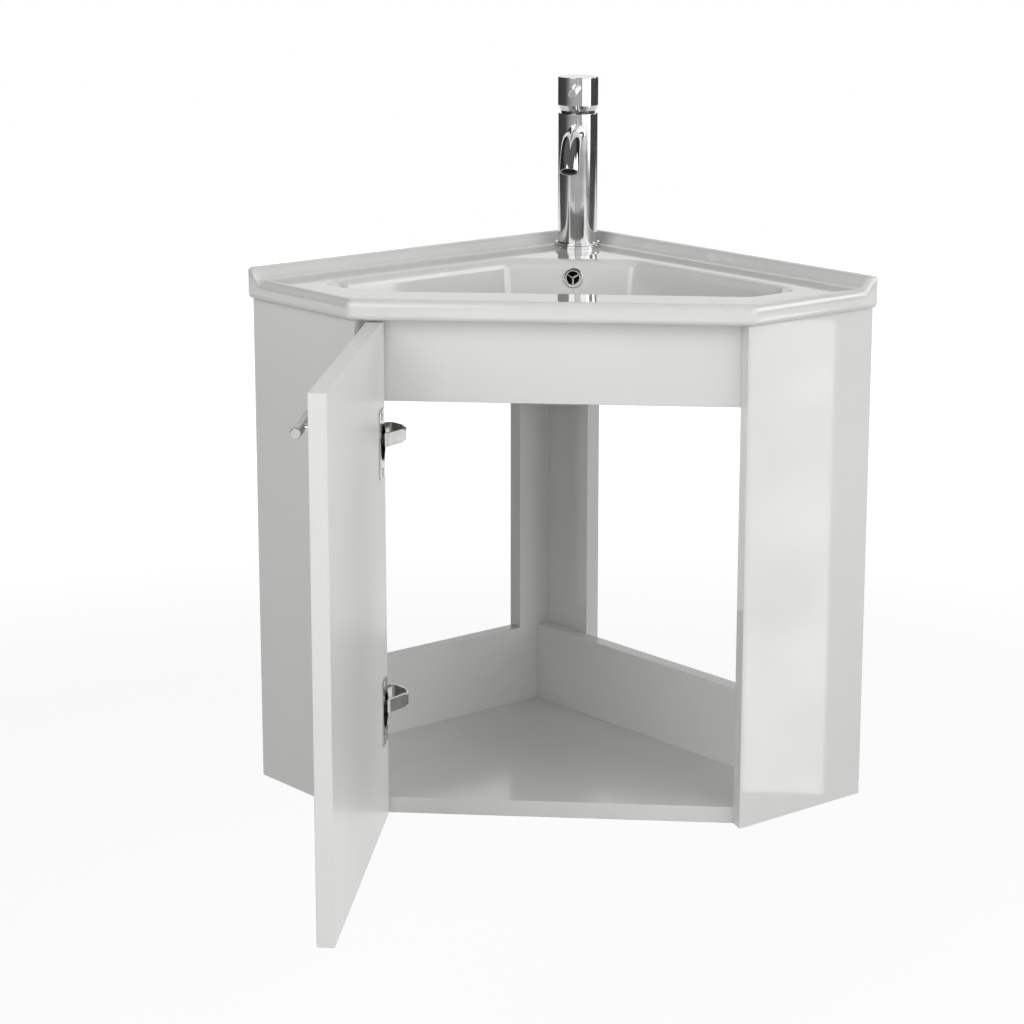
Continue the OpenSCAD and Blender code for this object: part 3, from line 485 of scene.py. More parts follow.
# %% Ring helpers
corner_steps = 14
end_shares = [0.006, 0.013, 0.021, 0.03, 0.038, 0.046, 0.054, 0.063, 0.071, 0.08, 0.09, 0.1,
              0.115, 0.13, 0.18, 0.25, 0.35, 0.5, 0.65, 0.8]
wall_shares, front_shares = [k / 12 for k in range(1, 12)], [k / 16 for k in range(1, 16)]
edge_shares = [[0.5], wall_shares, end_shares, front_shares,
               [1 - s for s in reversed(end_shares)], wall_shares]


def moved_in(corners, distance):
    """The outline with every edge moved in."""
    result = []
    for k, corner in enumerate(corners):
        before = (corner - corners[k - 1]).normalized()
        after = (corners[(k + 1) % len(corners)] - corner).normalized()
        result.append(corner + (before + after).orthogonal() * distance
                      / (1 + before.dot(after)))
    return result


def corner_arcs(corners, radii, steps):
    """One arc for each corner of a closed outline."""
    count = len(corners)
    return [rounded([corners[k - 1], corners[k], corners[(k + 1) % count]], [radii[k]],
                    steps)[1:-1] for k in range(count)]


def ring_of(corners, radii):
    """The closed outline with round corners and extra points along its edges."""
    arcs = corner_arcs(corners, radii, corner_steps)
    points = []
    for k, arc in enumerate(arcs):
        start, end = arc[-1], arcs[(k + 1) % len(arcs)][0]
        points += arc + [start + (end - start) * share for share in edge_shares[k]]
    return points


def basin_ring(inset):
    corners = moved_in(basin_corners, inset)
    cut = max(wall_nick + inset * (root2 - 1), inset + 0.5)
    corners[0], corners[1] = wall_point(cut, inset), wall_point(inset, cut)
    return ring_of(corners, [max(0.4, r - inset) for r in basin_radii])


def bowl_ring(inset):
    return ring_of(moved_in(bowl_corners, inset), bowl_radii)


def eased(share):
    return (1 - cos(pi * min(1, share))) / 2


# 0 along the walls, 1 along the ends and the front, and a smooth change over each wall tip
tip = [eased(i / corner_steps / 2) for i in range(corner_steps + 1)]
tip += [eased(0.5 + 5 * share) for share in end_shares]
exposed = ([0] * (2 * corner_steps + 3 + len(wall_shares)) + tip
           + [1] * (2 * corner_steps + 2 + len(front_shares)) + tip[::-1]
           + [0] * len(wall_shares))
print("Points in a ring:", len(exposed))

# %% [markdown]
# A ring's height comes from its distance to the edge. The bowl's tilted walls have a roll at
# the rim and blend into the round waste. The underside repeats them one wall thickness out.

# %% The rings, from the waste to the underside
roll_r, wall_tilt, bowl_depth, bowl_wall, waste_land_t = 12.0, radians(12), 106.0, 9.0, 12.0
waste_r = 22.5
waste_land_r = waste_r + 9
nose_top_r, wall_edge_r, nose_bottom_r = 8.0, 3.0, 6.0
upstand_flat, upstand_w, upstand_h = 5.0, 21.0, 11.0
wall_end_drop = 45.0
roll_end_in = roll_r * cos(wall_tilt)
roll_end_drop = roll_r * (1 - sin(wall_tilt))
wall_end_in = roll_end_in + (wall_end_drop - roll_end_drop) * tan(wall_tilt)
under_in = roll_end_in + (deck_t - roll_end_drop) * tan(wall_tilt) - bowl_wall
under_end_in = wall_end_in - bowl_wall
under_drop = bowl_depth + waste_land_t
bowl_shares = [0, 0.04, 0.08, 0.13, 0.2, 0.27, 0.34, 0.42, 0.5, 0.6, 0.7, 0.8, 0.9, 1]
roll_angles = (78, 70, 62, 54, 46, 38, 30, 22, 14, 7, 0)
edge_insets = (21, 19.7, 18.4, 17, 15.7, 14.4, 13, 11.7, 10.4, 9.2, 8, 6.8, 5.8, 4.8, 3.8, 3,
               2.3, 1.6, 1.1, 0.6, 0.25, 0.05, 0)


def drop(radius, inset):
    """How far a rounded edge lies below its flat."""
    return radius - sqrt(radius ** 2 - max(0, radius - inset) ** 2)


def upstand(width):
    """Level by the wall, then a cove down to the deck."""
    share = (width - upstand_flat) / (upstand_w - upstand_flat)
    return upstand_h * (1 - eased(max(0, share)))


def level(ring, z):
    return [(p.x, p.y, z) for p in ring]


def top_ring(inset):
    return [(p.x, p.y, deck_z + upstand((-abs(p.x) - p.y) / root2)
             - e * drop(nose_top_r, inset) - (1 - e) * drop(wall_edge_r, inset))
            for p, e in zip(basin_ring(inset), exposed)]


def bowl_part(inset, radius, drop_to, shares):
    """Rings between the straight wall and the waste, down a smooth curve."""
    wall = bowl_ring(inset)
    low = [waste_at + (p - waste_at).normalized() * radius for p in wall]
    return [level([a.lerp(b, s) for a, b in zip(wall, low)], deck_z - wall_end_drop
                  - (drop_to - wall_end_drop) * (1 - (1 - s) ** 3)) for s in shares]


basin_rings = bowl_part(wall_end_in, waste_land_r, bowl_depth, reversed(bowl_shares))
basin_rings += [level(bowl_ring(roll_r * sin(a)), deck_z - roll_r * (1 - cos(a)))
                for a in map(radians, roll_angles)]
basin_rings += [top_ring(inset) for inset in edge_insets]
basin_rings += [level(basin_ring(nose_bottom_r * (1 - cos(a))),
                      cab_h + nose_bottom_r * (1 - sin(a)))
                for a in map(radians, range(0, 91, 9))]
basin_rings.append(level(bowl_ring(under_in), cab_h))
basin_rings += bowl_part(under_end_in, waste_land_r + bowl_wall, under_drop, bowl_shares)
print("Rings:", len(basin_rings))


# %% Skin the rings
def skinned(rings):
    """A closed surface over rings of equal count, from the first ring to the last."""
    surface = bmesh.new()
    rows = [[surface.verts.new(Vector(p) * MM) for p in ring] for ring in rings]
    for low, high in zip(rows, rows[1:]):
        for i in range(len(low)):
            j = (i + 1) % len(low)
            surface.faces.new((low[i], low[j], high[j], high[i]))
    surface.faces.new(rows[0][::-1])
    surface.faces.new(rows[-1])
    weld(surface)
    bmesh.ops.recalc_face_normals(surface, faces=surface.faces)
    return surface


basin_surface = skinned(basin_rings)

# %% [markdown]
# The holes come last, as in the clay: the waste with a seat for its flange, the tap's hole,
# and a blind overflow pocket in a boss behind the bowl.

# %% Cut the basin's holes
tap_y, tap_hole_r = -69.0, 17.5
overflow_x, overflow_drop, pocket_r, pocket_depth = 2.5, 17.5, 7.5, 14.0
boss_r, boss_back, boss_front = 13.5, 20, 4.5
overflow_y = -bowl_back_in - roll_end_in - (overflow_drop - roll_end_drop) * tan(wall_tilt)
at_overflow = (at(overflow_x, overflow_y, deck_z - overflow_drop)
               @ turn(90 - degrees(wall_tilt), "X"))
seat_r, seat_low, seat_high, seat_bend, cut_end = 28.0, 9.0, 14.2, 5, 20
waste_cut = turned(rounded([(0, -2), (waste_r, -2), (waste_r, seat_low), (seat_r, seat_high),
                            (seat_r, cut_end), (0, cut_end)], [0, seat_bend, 0, 0]), 96)
boss = moved(rod(boss_r, -boss_back, -boss_front), at_overflow)
basin_surface = cut_away(combined(basin_surface, "UNION", boss),
                         moved(waste_cut, at(waste_at.x, waste_at.y, deck_z - under_drop)),
                         moved(rod(tap_hole_r, cab_h - 1, deck_z + 3, 96), at(0, tap_y, 0)),
                         moved(rod(pocket_r, -pocket_depth, 8), at_overflow))
basin = stand_in(basin_surface, "ceramic_basin", "basin", 32)
# The overflow pocket's faces take the near-black painted shade of the deep hole.
basin.data.materials.append(overflow_painted_shade)
into_overflow = at_overflow.inverted()
for face in basin.data.polygons:
    place = into_overflow @ face.center / MM
    if place.xy.length < pocket_r + 0.1 and -pocket_depth - 0.1 < place.z < -0.5:
        face.material_index = 1
print("Basin faces:", len(basin.data.polygons))

# %% [markdown]
# ## The tap's body, foot ring and lever cap
#
# The body is a plain tube with rounded edges. The foot ring covers the hole in the ceramic.
# The cap that carries the lever ends in part of a ball, which turns in the body's mouth, and
# a dark gap shows between the two. All three are turned.

# %% Body and foot ring
tap_r, body_z, body_top, bore_r, cartridge_z = 20.3, 505.0, 641.5, 17.1, 600.0
spout_z, spout_r, spout_bore_r = 622.0, 9.5, 7.8
hose_r, hose_x, hose_front, stud_hole_r, stud_back = 4.5, 8.5, 3, 4.0, 9
ring_r, ring_top, ring_step_r, ring_step_z = 24.1, 510.0, 23.1, 507.6
tap_place, to_front = at(0, tap_y, 0), turn(90, "X")
body_outline = rounded([(0, body_z), (tap_r, body_z), (tap_r, body_top), (bore_r, body_top),
                        (bore_r, cartridge_z), (0, cartridge_z)], [0.4, 0.5, 0.3, 0])
holes = [moved(rod(hose_r, -2, 12), at(side * hose_x, -hose_front, body_z))
         for side in (-1, 1)]
holes.append(moved(rod(stud_hole_r, -2, 15), at(0, stud_back, body_z)))
holes.append(moved(rod(spout_bore_r - 1.5, 0, 30), at(0, 0, spout_z) @ to_front))
stand_in(moved(cut_away(turned(body_outline), *holes), tap_place), "tap_body_turned",
         "tap_body")

foot_outline = rounded([(tap_r, deck_z), (ring_r, deck_z), (ring_r, ring_step_z),
                        (ring_step_r, ring_step_z), (ring_step_r, ring_top),
                        (tap_r, ring_top)], [0.15, 0.7, 0.25, 0.8])
stand_in(moved(turned(foot_outline, closed=True), tap_place), "tap_foot_turned",
         "tap_foot_ring")

# %% Lever cap with its ball end
ball_z, ball_r, cap_r, cap_up, ball_cut = 654.9, 21.4, 20.75, 23.1, 14.4
hollow_r, mouth_r, mouth_drop, cap_t, axle_r, axle_half = 17.0, 12.4, 11.63, 4.0, 1.55, 19.5
lever_reach, lever_r, lever_up, lever_seat = 82.0, 4.25, 13.1, 17.6
skirt = sqrt(ball_r ** 2 - cap_r ** 2)
ball_arc = [(ball_r * cos(a), ball_r * sin(a))
            for a in (radians(2 * k - 42.3) for k in range(1, 15))]
cap_outline = ([(mouth_r, -ball_cut), (sqrt(ball_r ** 2 - ball_cut ** 2), -ball_cut)]
               + ball_arc + [tuple(p) for p in rounded(
                   [(cap_r, -skirt), (cap_r, cap_up), (0, cap_up)], [0.7])])
hollow = [(0, cap_up - cap_t), (hollow_r, cap_up - cap_t), (hollow_r, 0)]
hollow += [(hollow_r * cos(a), -hollow_r * sin(a))
           for a in map(radians, range(6, 43, 6))] + [(mouth_r, -mouth_drop)]
cap = turned(cap_outline[::-1] + hollow[::-1])
ball_place, lever_place = at(0, tap_y, ball_z), at(0, 0, lever_up) @ to_front
cap = cut_away(cap, moved(rod(lever_r, lever_seat, 30), lever_place),
               moved(rod(axle_r, -axle_half, axle_half), turn(90, "Y")))
stand_in(moved(cap, ball_place), "lever_cap_turned", "lever_cap")

pin_outline = rounded([(0, lever_seat), (lever_r, lever_seat), (lever_r, lever_reach),
                       (0, lever_reach)], [0, 0.9])
stand_in(moved(turned(pin_outline, 64), ball_place @ lever_place), "lever_pin_turned",
         "lever_pin")

# %% [markdown]
# ## Geometry Nodes for what repeats or follows a path
#
# The spout follows a path, and screws, spokes and threads repeat. A node tree with named
# sizes makes each of them. Every tree ends by turning its copies into real mesh and setting
# the material, because an export keeps neither instances nor live modifiers.

# %% Tree helpers
def geometry_tree(name, **sizes):
    """A tree with a geometry, a material and named inputs: millimetres, or whole counts."""
    tree = bpy.data.node_groups.new(name, "GeometryNodeTree")
    for way, label in (("INPUT", "Geometry"), ("INPUT", "Material"), ("OUTPUT", "Geometry")):
        tree.interface.new_socket(label, in_out=way, socket_type="NodeSocket" + label)
    for label, size in sizes.items():
        counted = isinstance(size, int)
        tree.interface.new_socket(
            label.replace("_", " "), in_out="INPUT", socket_type="NodeSocketInt" if counted
            else "NodeSocketFloat").default_value = size if counted else size * MM
    return tree, add(tree, "NodeGroupInput").outputs


def end_tree(tree, inputs, *parts):
    """Joins the parts, makes them real and sets their material."""
    whole = add(tree, "GeometryNodeJoinGeometry")
    for part in parts:
        add(tree, whole, part)
    real = add(tree, "GeometryNodeRealizeInstances", whole)
    painted = add(tree, "GeometryNodeSetMaterial", real, Material=inputs["Material"])
    add(tree, "NodeGroupOutput", painted)


def copies_at(tree, inputs, instance):
    """Copies of the instance on the input's points, each turned to its facing."""
    facing = add(tree, "GeometryNodeInputNamedAttribute", Name="facing",
                 data_type="FLOAT_VECTOR")
    turned_to = add(tree, "FunctionNodeAlignRotationToVector", Vector=facing, axis="Z")
    return add(tree, "GeometryNodeInstanceOnPoints", inputs["Geometry"], Instance=instance,
               Rotation=turned_to)


def points_mesh(points, edges=(), facing=()):
    """Points in millimetres, with edges or with the way that each one's copy faces."""
    mesh = bpy.data.meshes.new("points")
    mesh.from_pydata([Vector(p) * MM for p in points], edges, [])
    if facing:
        ways = mesh.attributes.new("facing", "FLOAT_VECTOR", "POINT")
        for i, direction in enumerate(facing):
            ways.data[i].vector = direction
    return mesh


def grown(node, tree, base=None, modifiers=(), **sizes):
    """The tree's result on the base as a plain surface, after any finishing modifiers."""
    carrier = new_object("grown", base or points_mesh([(0, 0, 0)]))
    modifier = carrier.modifiers.new("nodes", "NODES")
    modifier.node_group = tree
    by_name = {item.name: item.identifier for item in tree.interface.items_tree
               if item.in_out == "INPUT"}
    modifier[by_name["Material"]] = finish_for(node)
    for label, size in sizes.items():
        modifier[by_name[label.replace("_", " ")]] = size * MM
    for kind, settings in modifiers:
        step = carrier.modifiers.new(kind.lower(), kind)
        for key, value in settings.items():
            setattr(step, key, value)
    return surface_of(plain_mesh(carrier))


def joined(surface, other):
    """Adds the other surface as a body of its own, uncut."""
    surface.from_mesh(mesh_of(other))
    return surface


# %% [markdown]
# ## The spout
#
# The spout is a bent chrome tube. The tree sweeps a circle along a path, a Solidify modifier
# gives the tube its wall, and the body's round is cut from its root so that it seats there.

# %% Spout
tree, sizes = geometry_tree("swept_tube", Tube_Radius=spout_r, Sides=64)
path = add(tree, "GeometryNodeMeshToCurve", sizes["Geometry"])
circle = add(tree, "GeometryNodeCurvePrimitiveCircle", Radius=sizes["Tube Radius"],
             Resolution=sizes["Sides"])
end_tree(tree, sizes, add(tree, "GeometryNodeCurveToMesh", path, Profile_Curve=circle))

spout_straight, bend_r, bend_angle = 75.0, 50.0, 62.0


def on_bend(angle):
    a = radians(angle)
    return Vector((0, tap_y - spout_straight - bend_r * sin(a),
                   spout_z - bend_r + bend_r * cos(a)))


spout_path = [(0, tap_y - 12 - k * 7, spout_z) for k in range(10)]
spout_path += [on_bend(angle) for angle in range(0, 63, 2)]
spout_line = points_mesh(spout_path, [(i, i + 1) for i in range(len(spout_path) - 1)])
tube = grown("spout", tree, spout_line, [
    ("SOLIDIFY", {"thickness": (spout_r - spout_bore_r) * MM, "offset": -1.0}),
    ("BEVEL", {"width": 0.3 * MM, "segments": 3, "limit_method": "ANGLE",
               "angle_limit": radians(50)})])
bmesh.ops.recalc_face_normals(tube, faces=tube.faces)
tube = cut_away(tube, moved(rod(tap_r, 580, body_top, 128), tap_place))
stand_in(tube, "spout_tube", "spout")
print("Points along the spout:", len(spout_path))

# %% [markdown]
# ## The aerator in the outlet
#
# A plastic ring with a fine screen mixes air into the water. The screen is a triangle grid
# turned into its dual, which is a honeycomb, with a thin wire along every edge.

# %% Honeycomb screen
tree, sizes = geometry_tree("honeycomb_screen", Screen_Radius=6.4, Grid_Width=14.72,
                            Wire_Radius=0.16, Cells_Across=13)
grid = add(tree, "GeometryNodeMeshGrid", sizes["Grid Width"], sizes["Grid Width"],
           sizes["Cells Across"], sizes["Cells Across"])
cells = add(tree, "GeometryNodeDualMesh", add(tree, "GeometryNodeTriangulate", grid))
from_middle = add(tree, "ShaderNodeVectorMath", add(tree, "GeometryNodeInputPosition"),
                  operation="LENGTH").outputs["Value"]
outside = add(tree, "FunctionNodeCompare", A=from_middle, B=sizes["Screen Radius"],
              operation="GREATER_THAN")
kept = add(tree, "GeometryNodeDeleteGeometry", cells, Selection=outside, domain="POINT")
wire_round = add(tree, "GeometryNodeCurvePrimitiveCircle", Radius=sizes["Wire Radius"],
                 Resolution=5)
end_tree(tree, sizes, add(tree, "GeometryNodeCurveToMesh",
                          add(tree, "GeometryNodeMeshToCurve", kept),
                          Profile_Curve=wire_round))

# %% Aerator
outlet_angle = bend_angle - 1.2
at_outlet = at(*on_bend(outlet_angle)) @ turn(90 + outlet_angle, "X")
insert_r, insert_l, rim_r, rim_depth = 7.65, 6.0, 6.2, 1.6
insert = turned(rounded([(insert_r, -insert_l), (insert_r, 0), (rim_r, 0), (rim_r, -rim_depth),
                         (0, -rim_depth), (0, -insert_l)], [0.3, 0.3, 0.2, 0]), 96, True)
screen = moved(grown("aerator", tree), at(0, 0, -0.9))
stand_in(moved(joined(insert, screen), at_outlet), "aerator_screen", "aerator")

# %% [markdown]
# ## The overflow ring
#
# A chrome ring clips into the overflow hole. Three spokes keep rings and bottle caps out.
# The spokes are one bar repeated round a circle.

# %% Overflow ring
hole_r, collar_r, collar_low, collar_high, sleeve_r, sleeve_l = 6.4, 10.0, 0.3, 1.9, 7.5, 6
tree, sizes = geometry_tree("ring_spokes", Middle_Radius=hole_r / 2, Spoke_Length=hole_r + 0.3,
                            Spoke_Width=1.6, Spoke_Depth=1.8, Spokes=3)
hub = add(tree, "GeometryNodeMeshCircle", sizes["Spokes"], sizes["Middle Radius"])
bar = add(tree, "GeometryNodeMeshCube", add(
    tree, "ShaderNodeCombineXYZ", sizes["Spoke Length"], sizes["Spoke Width"],
    sizes["Spoke Depth"]))
step = add(tree, "ShaderNodeMath", 2 * pi, sizes["Spokes"], operation="DIVIDE")
spin = add(tree, "ShaderNodeMath", add(tree, "GeometryNodeInputIndex"), step,
           operation="MULTIPLY")
end_tree(tree, sizes, add(tree, "GeometryNodeInstanceOnPoints", hub, Instance=bar,
                          Rotation=add(tree, "ShaderNodeCombineXYZ", Z=spin)))

ring = turned(rounded([(hole_r, collar_low), (hole_r, collar_high), (collar_r, collar_high),
                       (collar_r, collar_low), (sleeve_r, collar_low), (sleeve_r, -sleeve_l),
                       (hole_r, -sleeve_l), (hole_r, collar_low)],
                      [0.5, 0.9, 0.1, 0, 0.2, 0.2])[:-1], 96, True)
spokes = grown("overflow_ring", tree, modifiers=[
    ("BEVEL", {"width": 0.35 * MM, "segments": 3, "limit_method": "ANGLE"})])
ring = joined(ring, moved(spokes, turn(30, "Z")))
stand_in(moved(ring, at_overflow), "overflow_ring_turned", "overflow_ring")
print("Overflow ring across, mm:", 2 * collar_r)

# %% [markdown]
# ## Screws
#
# The hinges are held by screws with low domed heads and a cross recess. One tree makes them
# all: a squashed ball, cut flat below and slotted twice, and a shank. It copies the screw to
# points that say where it goes and which way it faces.

# %% Screw tree
tree, sizes = geometry_tree("cross_screw", Head_Radius=3.4, Head_Height=0.9, Slot_Width=0.8,
                            Slot_Depth=0.5, Shank_Radius=1.75, Shank_Length=12.0)
ball = add(tree, "GeometryNodeMeshUVSphere", Segments=32, Rings=16, Radius=1.0)
head_size = add(tree, "ShaderNodeCombineXYZ", sizes["Head Radius"], sizes["Head Radius"],
                sizes["Head Height"])
head = add(tree, "GeometryNodeMeshBoolean",
           add(tree, "GeometryNodeTransform", ball, Scale=head_size), operation="DIFFERENCE")
block_size, slot_h = (0.05, 0.05, 0.02), 0.004
below = add(tree, "GeometryNodeMeshCube", block_size)
add(tree, head, Mesh_2=add(tree, "GeometryNodeTransform", below,
                           Translation=(0, 0, -block_size[2] / 2)))
slot_z = add(tree, "ShaderNodeMath", sizes["Head Height"], sizes["Slot Depth"],
             operation="SUBTRACT")
slot_middle = add(tree, "ShaderNodeMath", slot_z, slot_h / 2, operation="ADD")
slot_up = add(tree, "ShaderNodeCombineXYZ", Z=slot_middle)
for a, b in (("Head Radius", "Slot Width"), ("Slot Width", "Head Radius")):
    slot_size = add(tree, "ShaderNodeCombineXYZ", sizes[a], sizes[b], slot_h)
    slot = add(tree, "GeometryNodeMeshCube", slot_size)
    add(tree, head, Mesh_2=add(tree, "GeometryNodeTransform", slot, Translation=slot_up))


def standing_rod(tree, radius, length, vertices, share):
    """A cylinder whose middle is the given share of its length above the origin."""
    middle = add(tree, "ShaderNodeMath", length, share, operation="MULTIPLY")
    return add(tree, "GeometryNodeTransform",
               add(tree, "GeometryNodeMeshCylinder", vertices, Radius=radius, Depth=length),
               Translation=add(tree, "ShaderNodeCombineXYZ", Z=middle))


shank = standing_rod(tree, sizes["Shank Radius"], sizes["Shank Length"], 24, -0.5)
whole = add(tree, "GeometryNodeJoinGeometry", head)
add(tree, whole, shank)
end_tree(tree, sizes, copies_at(tree, sizes, whole))
screw_tree = tree

# %% [markdown]
# ## Where the hinges are
#
# The door's places are measured from the hinge axis. As the door stands open, its own x runs
# towards the viewer. The panel's are measured on the left side panel's inner face.

# %% Hinge places
corner_gap, door_setback = 4.35, 4.8
door_t, pin_depth, pin_from_edge, cup_from_edge, flange_t = 16.0, 7.3, 7.8, 20.5, 1.2
side_inner_w = side_w - board * tan(radians(22.5))
inner_leg = wall_leg - board
front_corner = wall_point(inner_leg, side_inner_w)
door_w = 2 * (front_corner.x - corner_gap)
hinge_x, hinge_y = pin_from_edge - door_w / 2, front_corner.y - door_setback - pin_depth
in_door = at(hinge_x, hinge_y, 0) @ turn(-90, "Z")
hinge_heights = (111.5, 371.0)
cup_x = cup_from_edge - pin_from_edge
door_face = in_door.to_3x3() @ Vector((0, 1, 0))


def door_point(x, y, z):
    return in_door @ (Vector((x, y, z)) * MM) / MM


def panel_place(back, out, z):
    """back from the left panel's front inner corner, out from its inner face."""
    return Vector((*wall_point(side_inner_w - back, inner_leg - out), z))


panel_out = panel_place(0, 1, 0) - panel_place(0, 0, 0)
print("Hinge axis at X", round(hinge_x, 2), "Y", round(hinge_y, 2))

# %% Screws of the hinges
plate_setback, plate_t, block_back, block_h = 37.0, 2.5, 22.0, 16.0
cup_screw_x, cup_screw_half, plate_screw_half, arm_screw_x = 5.5, 26.0, 16.0, (8, 35)
ends = [(z, side) for z in hinge_heights for side in (-1, 1)]
cup_screws = [door_point(cup_x + cup_screw_x, pin_depth + flange_t, z + side * cup_screw_half)
              for z, side in ends]
plate_screws = [panel_place(plate_setback, plate_t, z + side * plate_screw_half)
                for z, side in ends]
arm_screws = [panel_place(block_back + x, block_h + 2, z) for z in hinge_heights
              for x in arm_screw_x]
for name, places, facing, length, head_r, head_h in (
        ("hinge_cup_screws", cup_screws, door_face, 12.0, 3.4, 0.9),
        ("hinge_plate_screws", plate_screws, panel_out, 15.0, 3.4, 0.9),
        ("hinge_arm_screws", arm_screws, panel_out, 8.5, 4.0, 1.8)):
    screws = grown(name, screw_tree, points_mesh(places, facing=[facing] * len(places)),
                   Head_Radius=head_r, Head_Height=head_h, Slot_Depth=head_h * 0.6,
                   Shank_Length=length)
    stand_in(screws, name + "_domed", name)
    print(name, len(places), "screws")

# %% [markdown]
# ## Hinges
#
# Each concealed hinge has a pressed cup let into the door and a cranked arm that hooks round
# the front edge of the side panel. Pressing leaves their edges slightly rounded, so the
# solids get a small bevel. A plate with straight long edges, the flange, is joined to the cup.

# %% Hinge arms and mounting plates
for name in ("hinge_plate_upper", "hinge_plate_lower", "hinge_arm_upper", "hinge_arm_lower"):
    softened(name, 0.22)

# %% Hinge cups
flange_near, flange_far, flange_half, cup_mouth_r = 19.0, -12.0, 32.0, 16.9
near_corner_r, far_corner_r, cup_edge_r = 3.5, 7.0, 0.2
flange_corners = ((flange_near, -flange_half), (flange_near, flange_half),
                  (flange_far, flange_half), (flange_far, -flange_half))
flange_radii = [near_corner_r, near_corner_r, far_corner_r, far_corner_r]
flange_outline = [p for arc in corner_arcs(flange_corners, flange_radii, 6) for p in arc]
for name, z in zip(("hinge_cup_lower", "hinge_cup_upper"), hinge_heights):
    on_face = in_door @ at(cup_x, pin_depth, z) @ turn(-90, "X")
    plate = cut_away(skinned([level(flange_outline, 0), level(flange_outline, flange_t)]),
                     rod(cup_mouth_r, -1, 3, 96))
    cup = combined(welded(name), "UNION", moved(plate, on_face))
    bevel_sharp(cup, cup_edge_r, 2)
    stand_in(cup, name + "_flanged", name)
print("Cup flange, mm:", flange_near - flange_far, "by", 2 * flange_half)

# %% [markdown]
# ## The handle
#
# A satin bar with chamfered ends stands off the door on two posts, which are one rod copied
# by a tree.

# %% Handle
handle_x, handle_z, bar_y = door_w / 2 - pin_from_edge, 426.5, pin_depth - door_t - 27
bar_half, bar_r, bar_chamfer, post_r, post_l, pitch = 71.0, 5.0, 0.8, 3.75, 23.6, 96.0
bar_end = [(bar_r - bar_chamfer, bar_half), (bar_r, bar_half - bar_chamfer)]
bar_outline = rounded([(0, -bar_half)] + [(r, -z) for r, z in bar_end] + bar_end[::-1]
                      + [(0, bar_half)], [0.2] * 4)
bar_place = in_door @ at(handle_x, bar_y, handle_z) @ turn(90, "Y")
stand_in(moved(turned(bar_outline, 96), bar_place), "handle_bar_turned", "handle_bar", 30)

tree, sizes = geometry_tree("rods_at_places", Rod_Radius=post_r, Rod_Length=post_l)
post = standing_rod(tree, sizes["Rod Radius"], sizes["Rod Length"], 64, 0.5)
end_tree(tree, sizes, copies_at(tree, sizes, post))
post_places = [door_point(handle_x + side * pitch / 2, pin_depth - door_t, handle_z)
               for side in (-1, 1)]
posts = grown("handle_posts", tree, points_mesh(post_places, facing=[-door_face] * 2))
stand_in(posts, "handle_posts_rods", "handle_posts")
print("Handle bar, mm:", 2 * bar_half)

# %% [markdown]
# ## Under the deck
#
# A threaded stud, a nut and a horseshoe clamp pull the tap down on the ceramic. The thread is
# a triangle swept along a spiral at the pitch of an M8 thread, 1.25 mm.

# %% Threaded stud
stud_low, stud_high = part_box("tap_stud")
thread_end = 0.7
thread_l = (stud_high.z - stud_low.z) / MM - 2 * thread_end
tree, sizes = geometry_tree("thread", Core_Radius=3.3, Ridge_Radius=0.7, Pitch=1.25,
                            Thread_Length=thread_l)
turns = add(tree, "ShaderNodeMath", sizes["Thread Length"], sizes["Pitch"], operation="DIVIDE")
spiral = add(tree, "GeometryNodeCurveSpiral", Resolution=20, Rotations=turns,
             Start_Radius=sizes["Core Radius"], End_Radius=sizes["Core Radius"],
             Height=sizes["Thread Length"])
ridge = add(tree, "GeometryNodeCurvePrimitiveCircle", Resolution=3,
            Radius=sizes["Ridge Radius"])
winding = add(tree, "GeometryNodeCurveToMesh", spiral, Profile_Curve=ridge, Fill_Caps=True)
core = standing_rod(tree, sizes["Core Radius"], sizes["Thread Length"], 32, 0.5)
end_tree(tree, sizes, winding, core)
stud_place = at(0, tap_y + stud_back, stud_low.z / MM + thread_end)
stand_in(moved(grown("tap_stud", tree), stud_place), "tap_stud_threaded", "tap_stud")
print("Thread, mm:", round(thread_l, 1))

# %% Clamp, nut and the small hidden pieces
for name, radius in (("clamp_plate", 0.3), ("clamp_rubber", 0.4), ("clamp_nut", 0.5),
                     ("fascia_blocks", 0.5), ("tap_gasket", 0.15), ("cartridge_nut", 0.2)):
    softened(name, radius)

# %% [markdown]
# ## Studio
#
# The unit stands between two tall softboxes, in front on the left and on the right, with
# weaker lights round it. The background is white for the camera's own rays. Glossy and
# transmitted rays see that white behind the unit, so metal and lacquer mirror it there, and
# elsewhere a dim room with a lit floor far out in front.

# %% Room and background
# Brightness by the way round: 0 is behind the unit, 0.5 beside it, 1 in front. Each band of
# the room takes over from the one below it between two heights of the ray's direction.
FAR_FLOOR = ((0, 0.04), (0.3, 0.08), (0.66, 0.10), (0.86, 0.42), (1, 0.65))
ROOM = ((0, 0.02), (0.5, 0.05), (1, 0.05))
CEILING = ((0, 0.18), (1, 0.18))
BANDS = ((FAR_FLOOR, -3, -2), (ROOM, -0.09, 0.01), (CEILING, 0.45, 0.75))
# The white background spans this many degrees each way
BACKDROP_HALF = 25

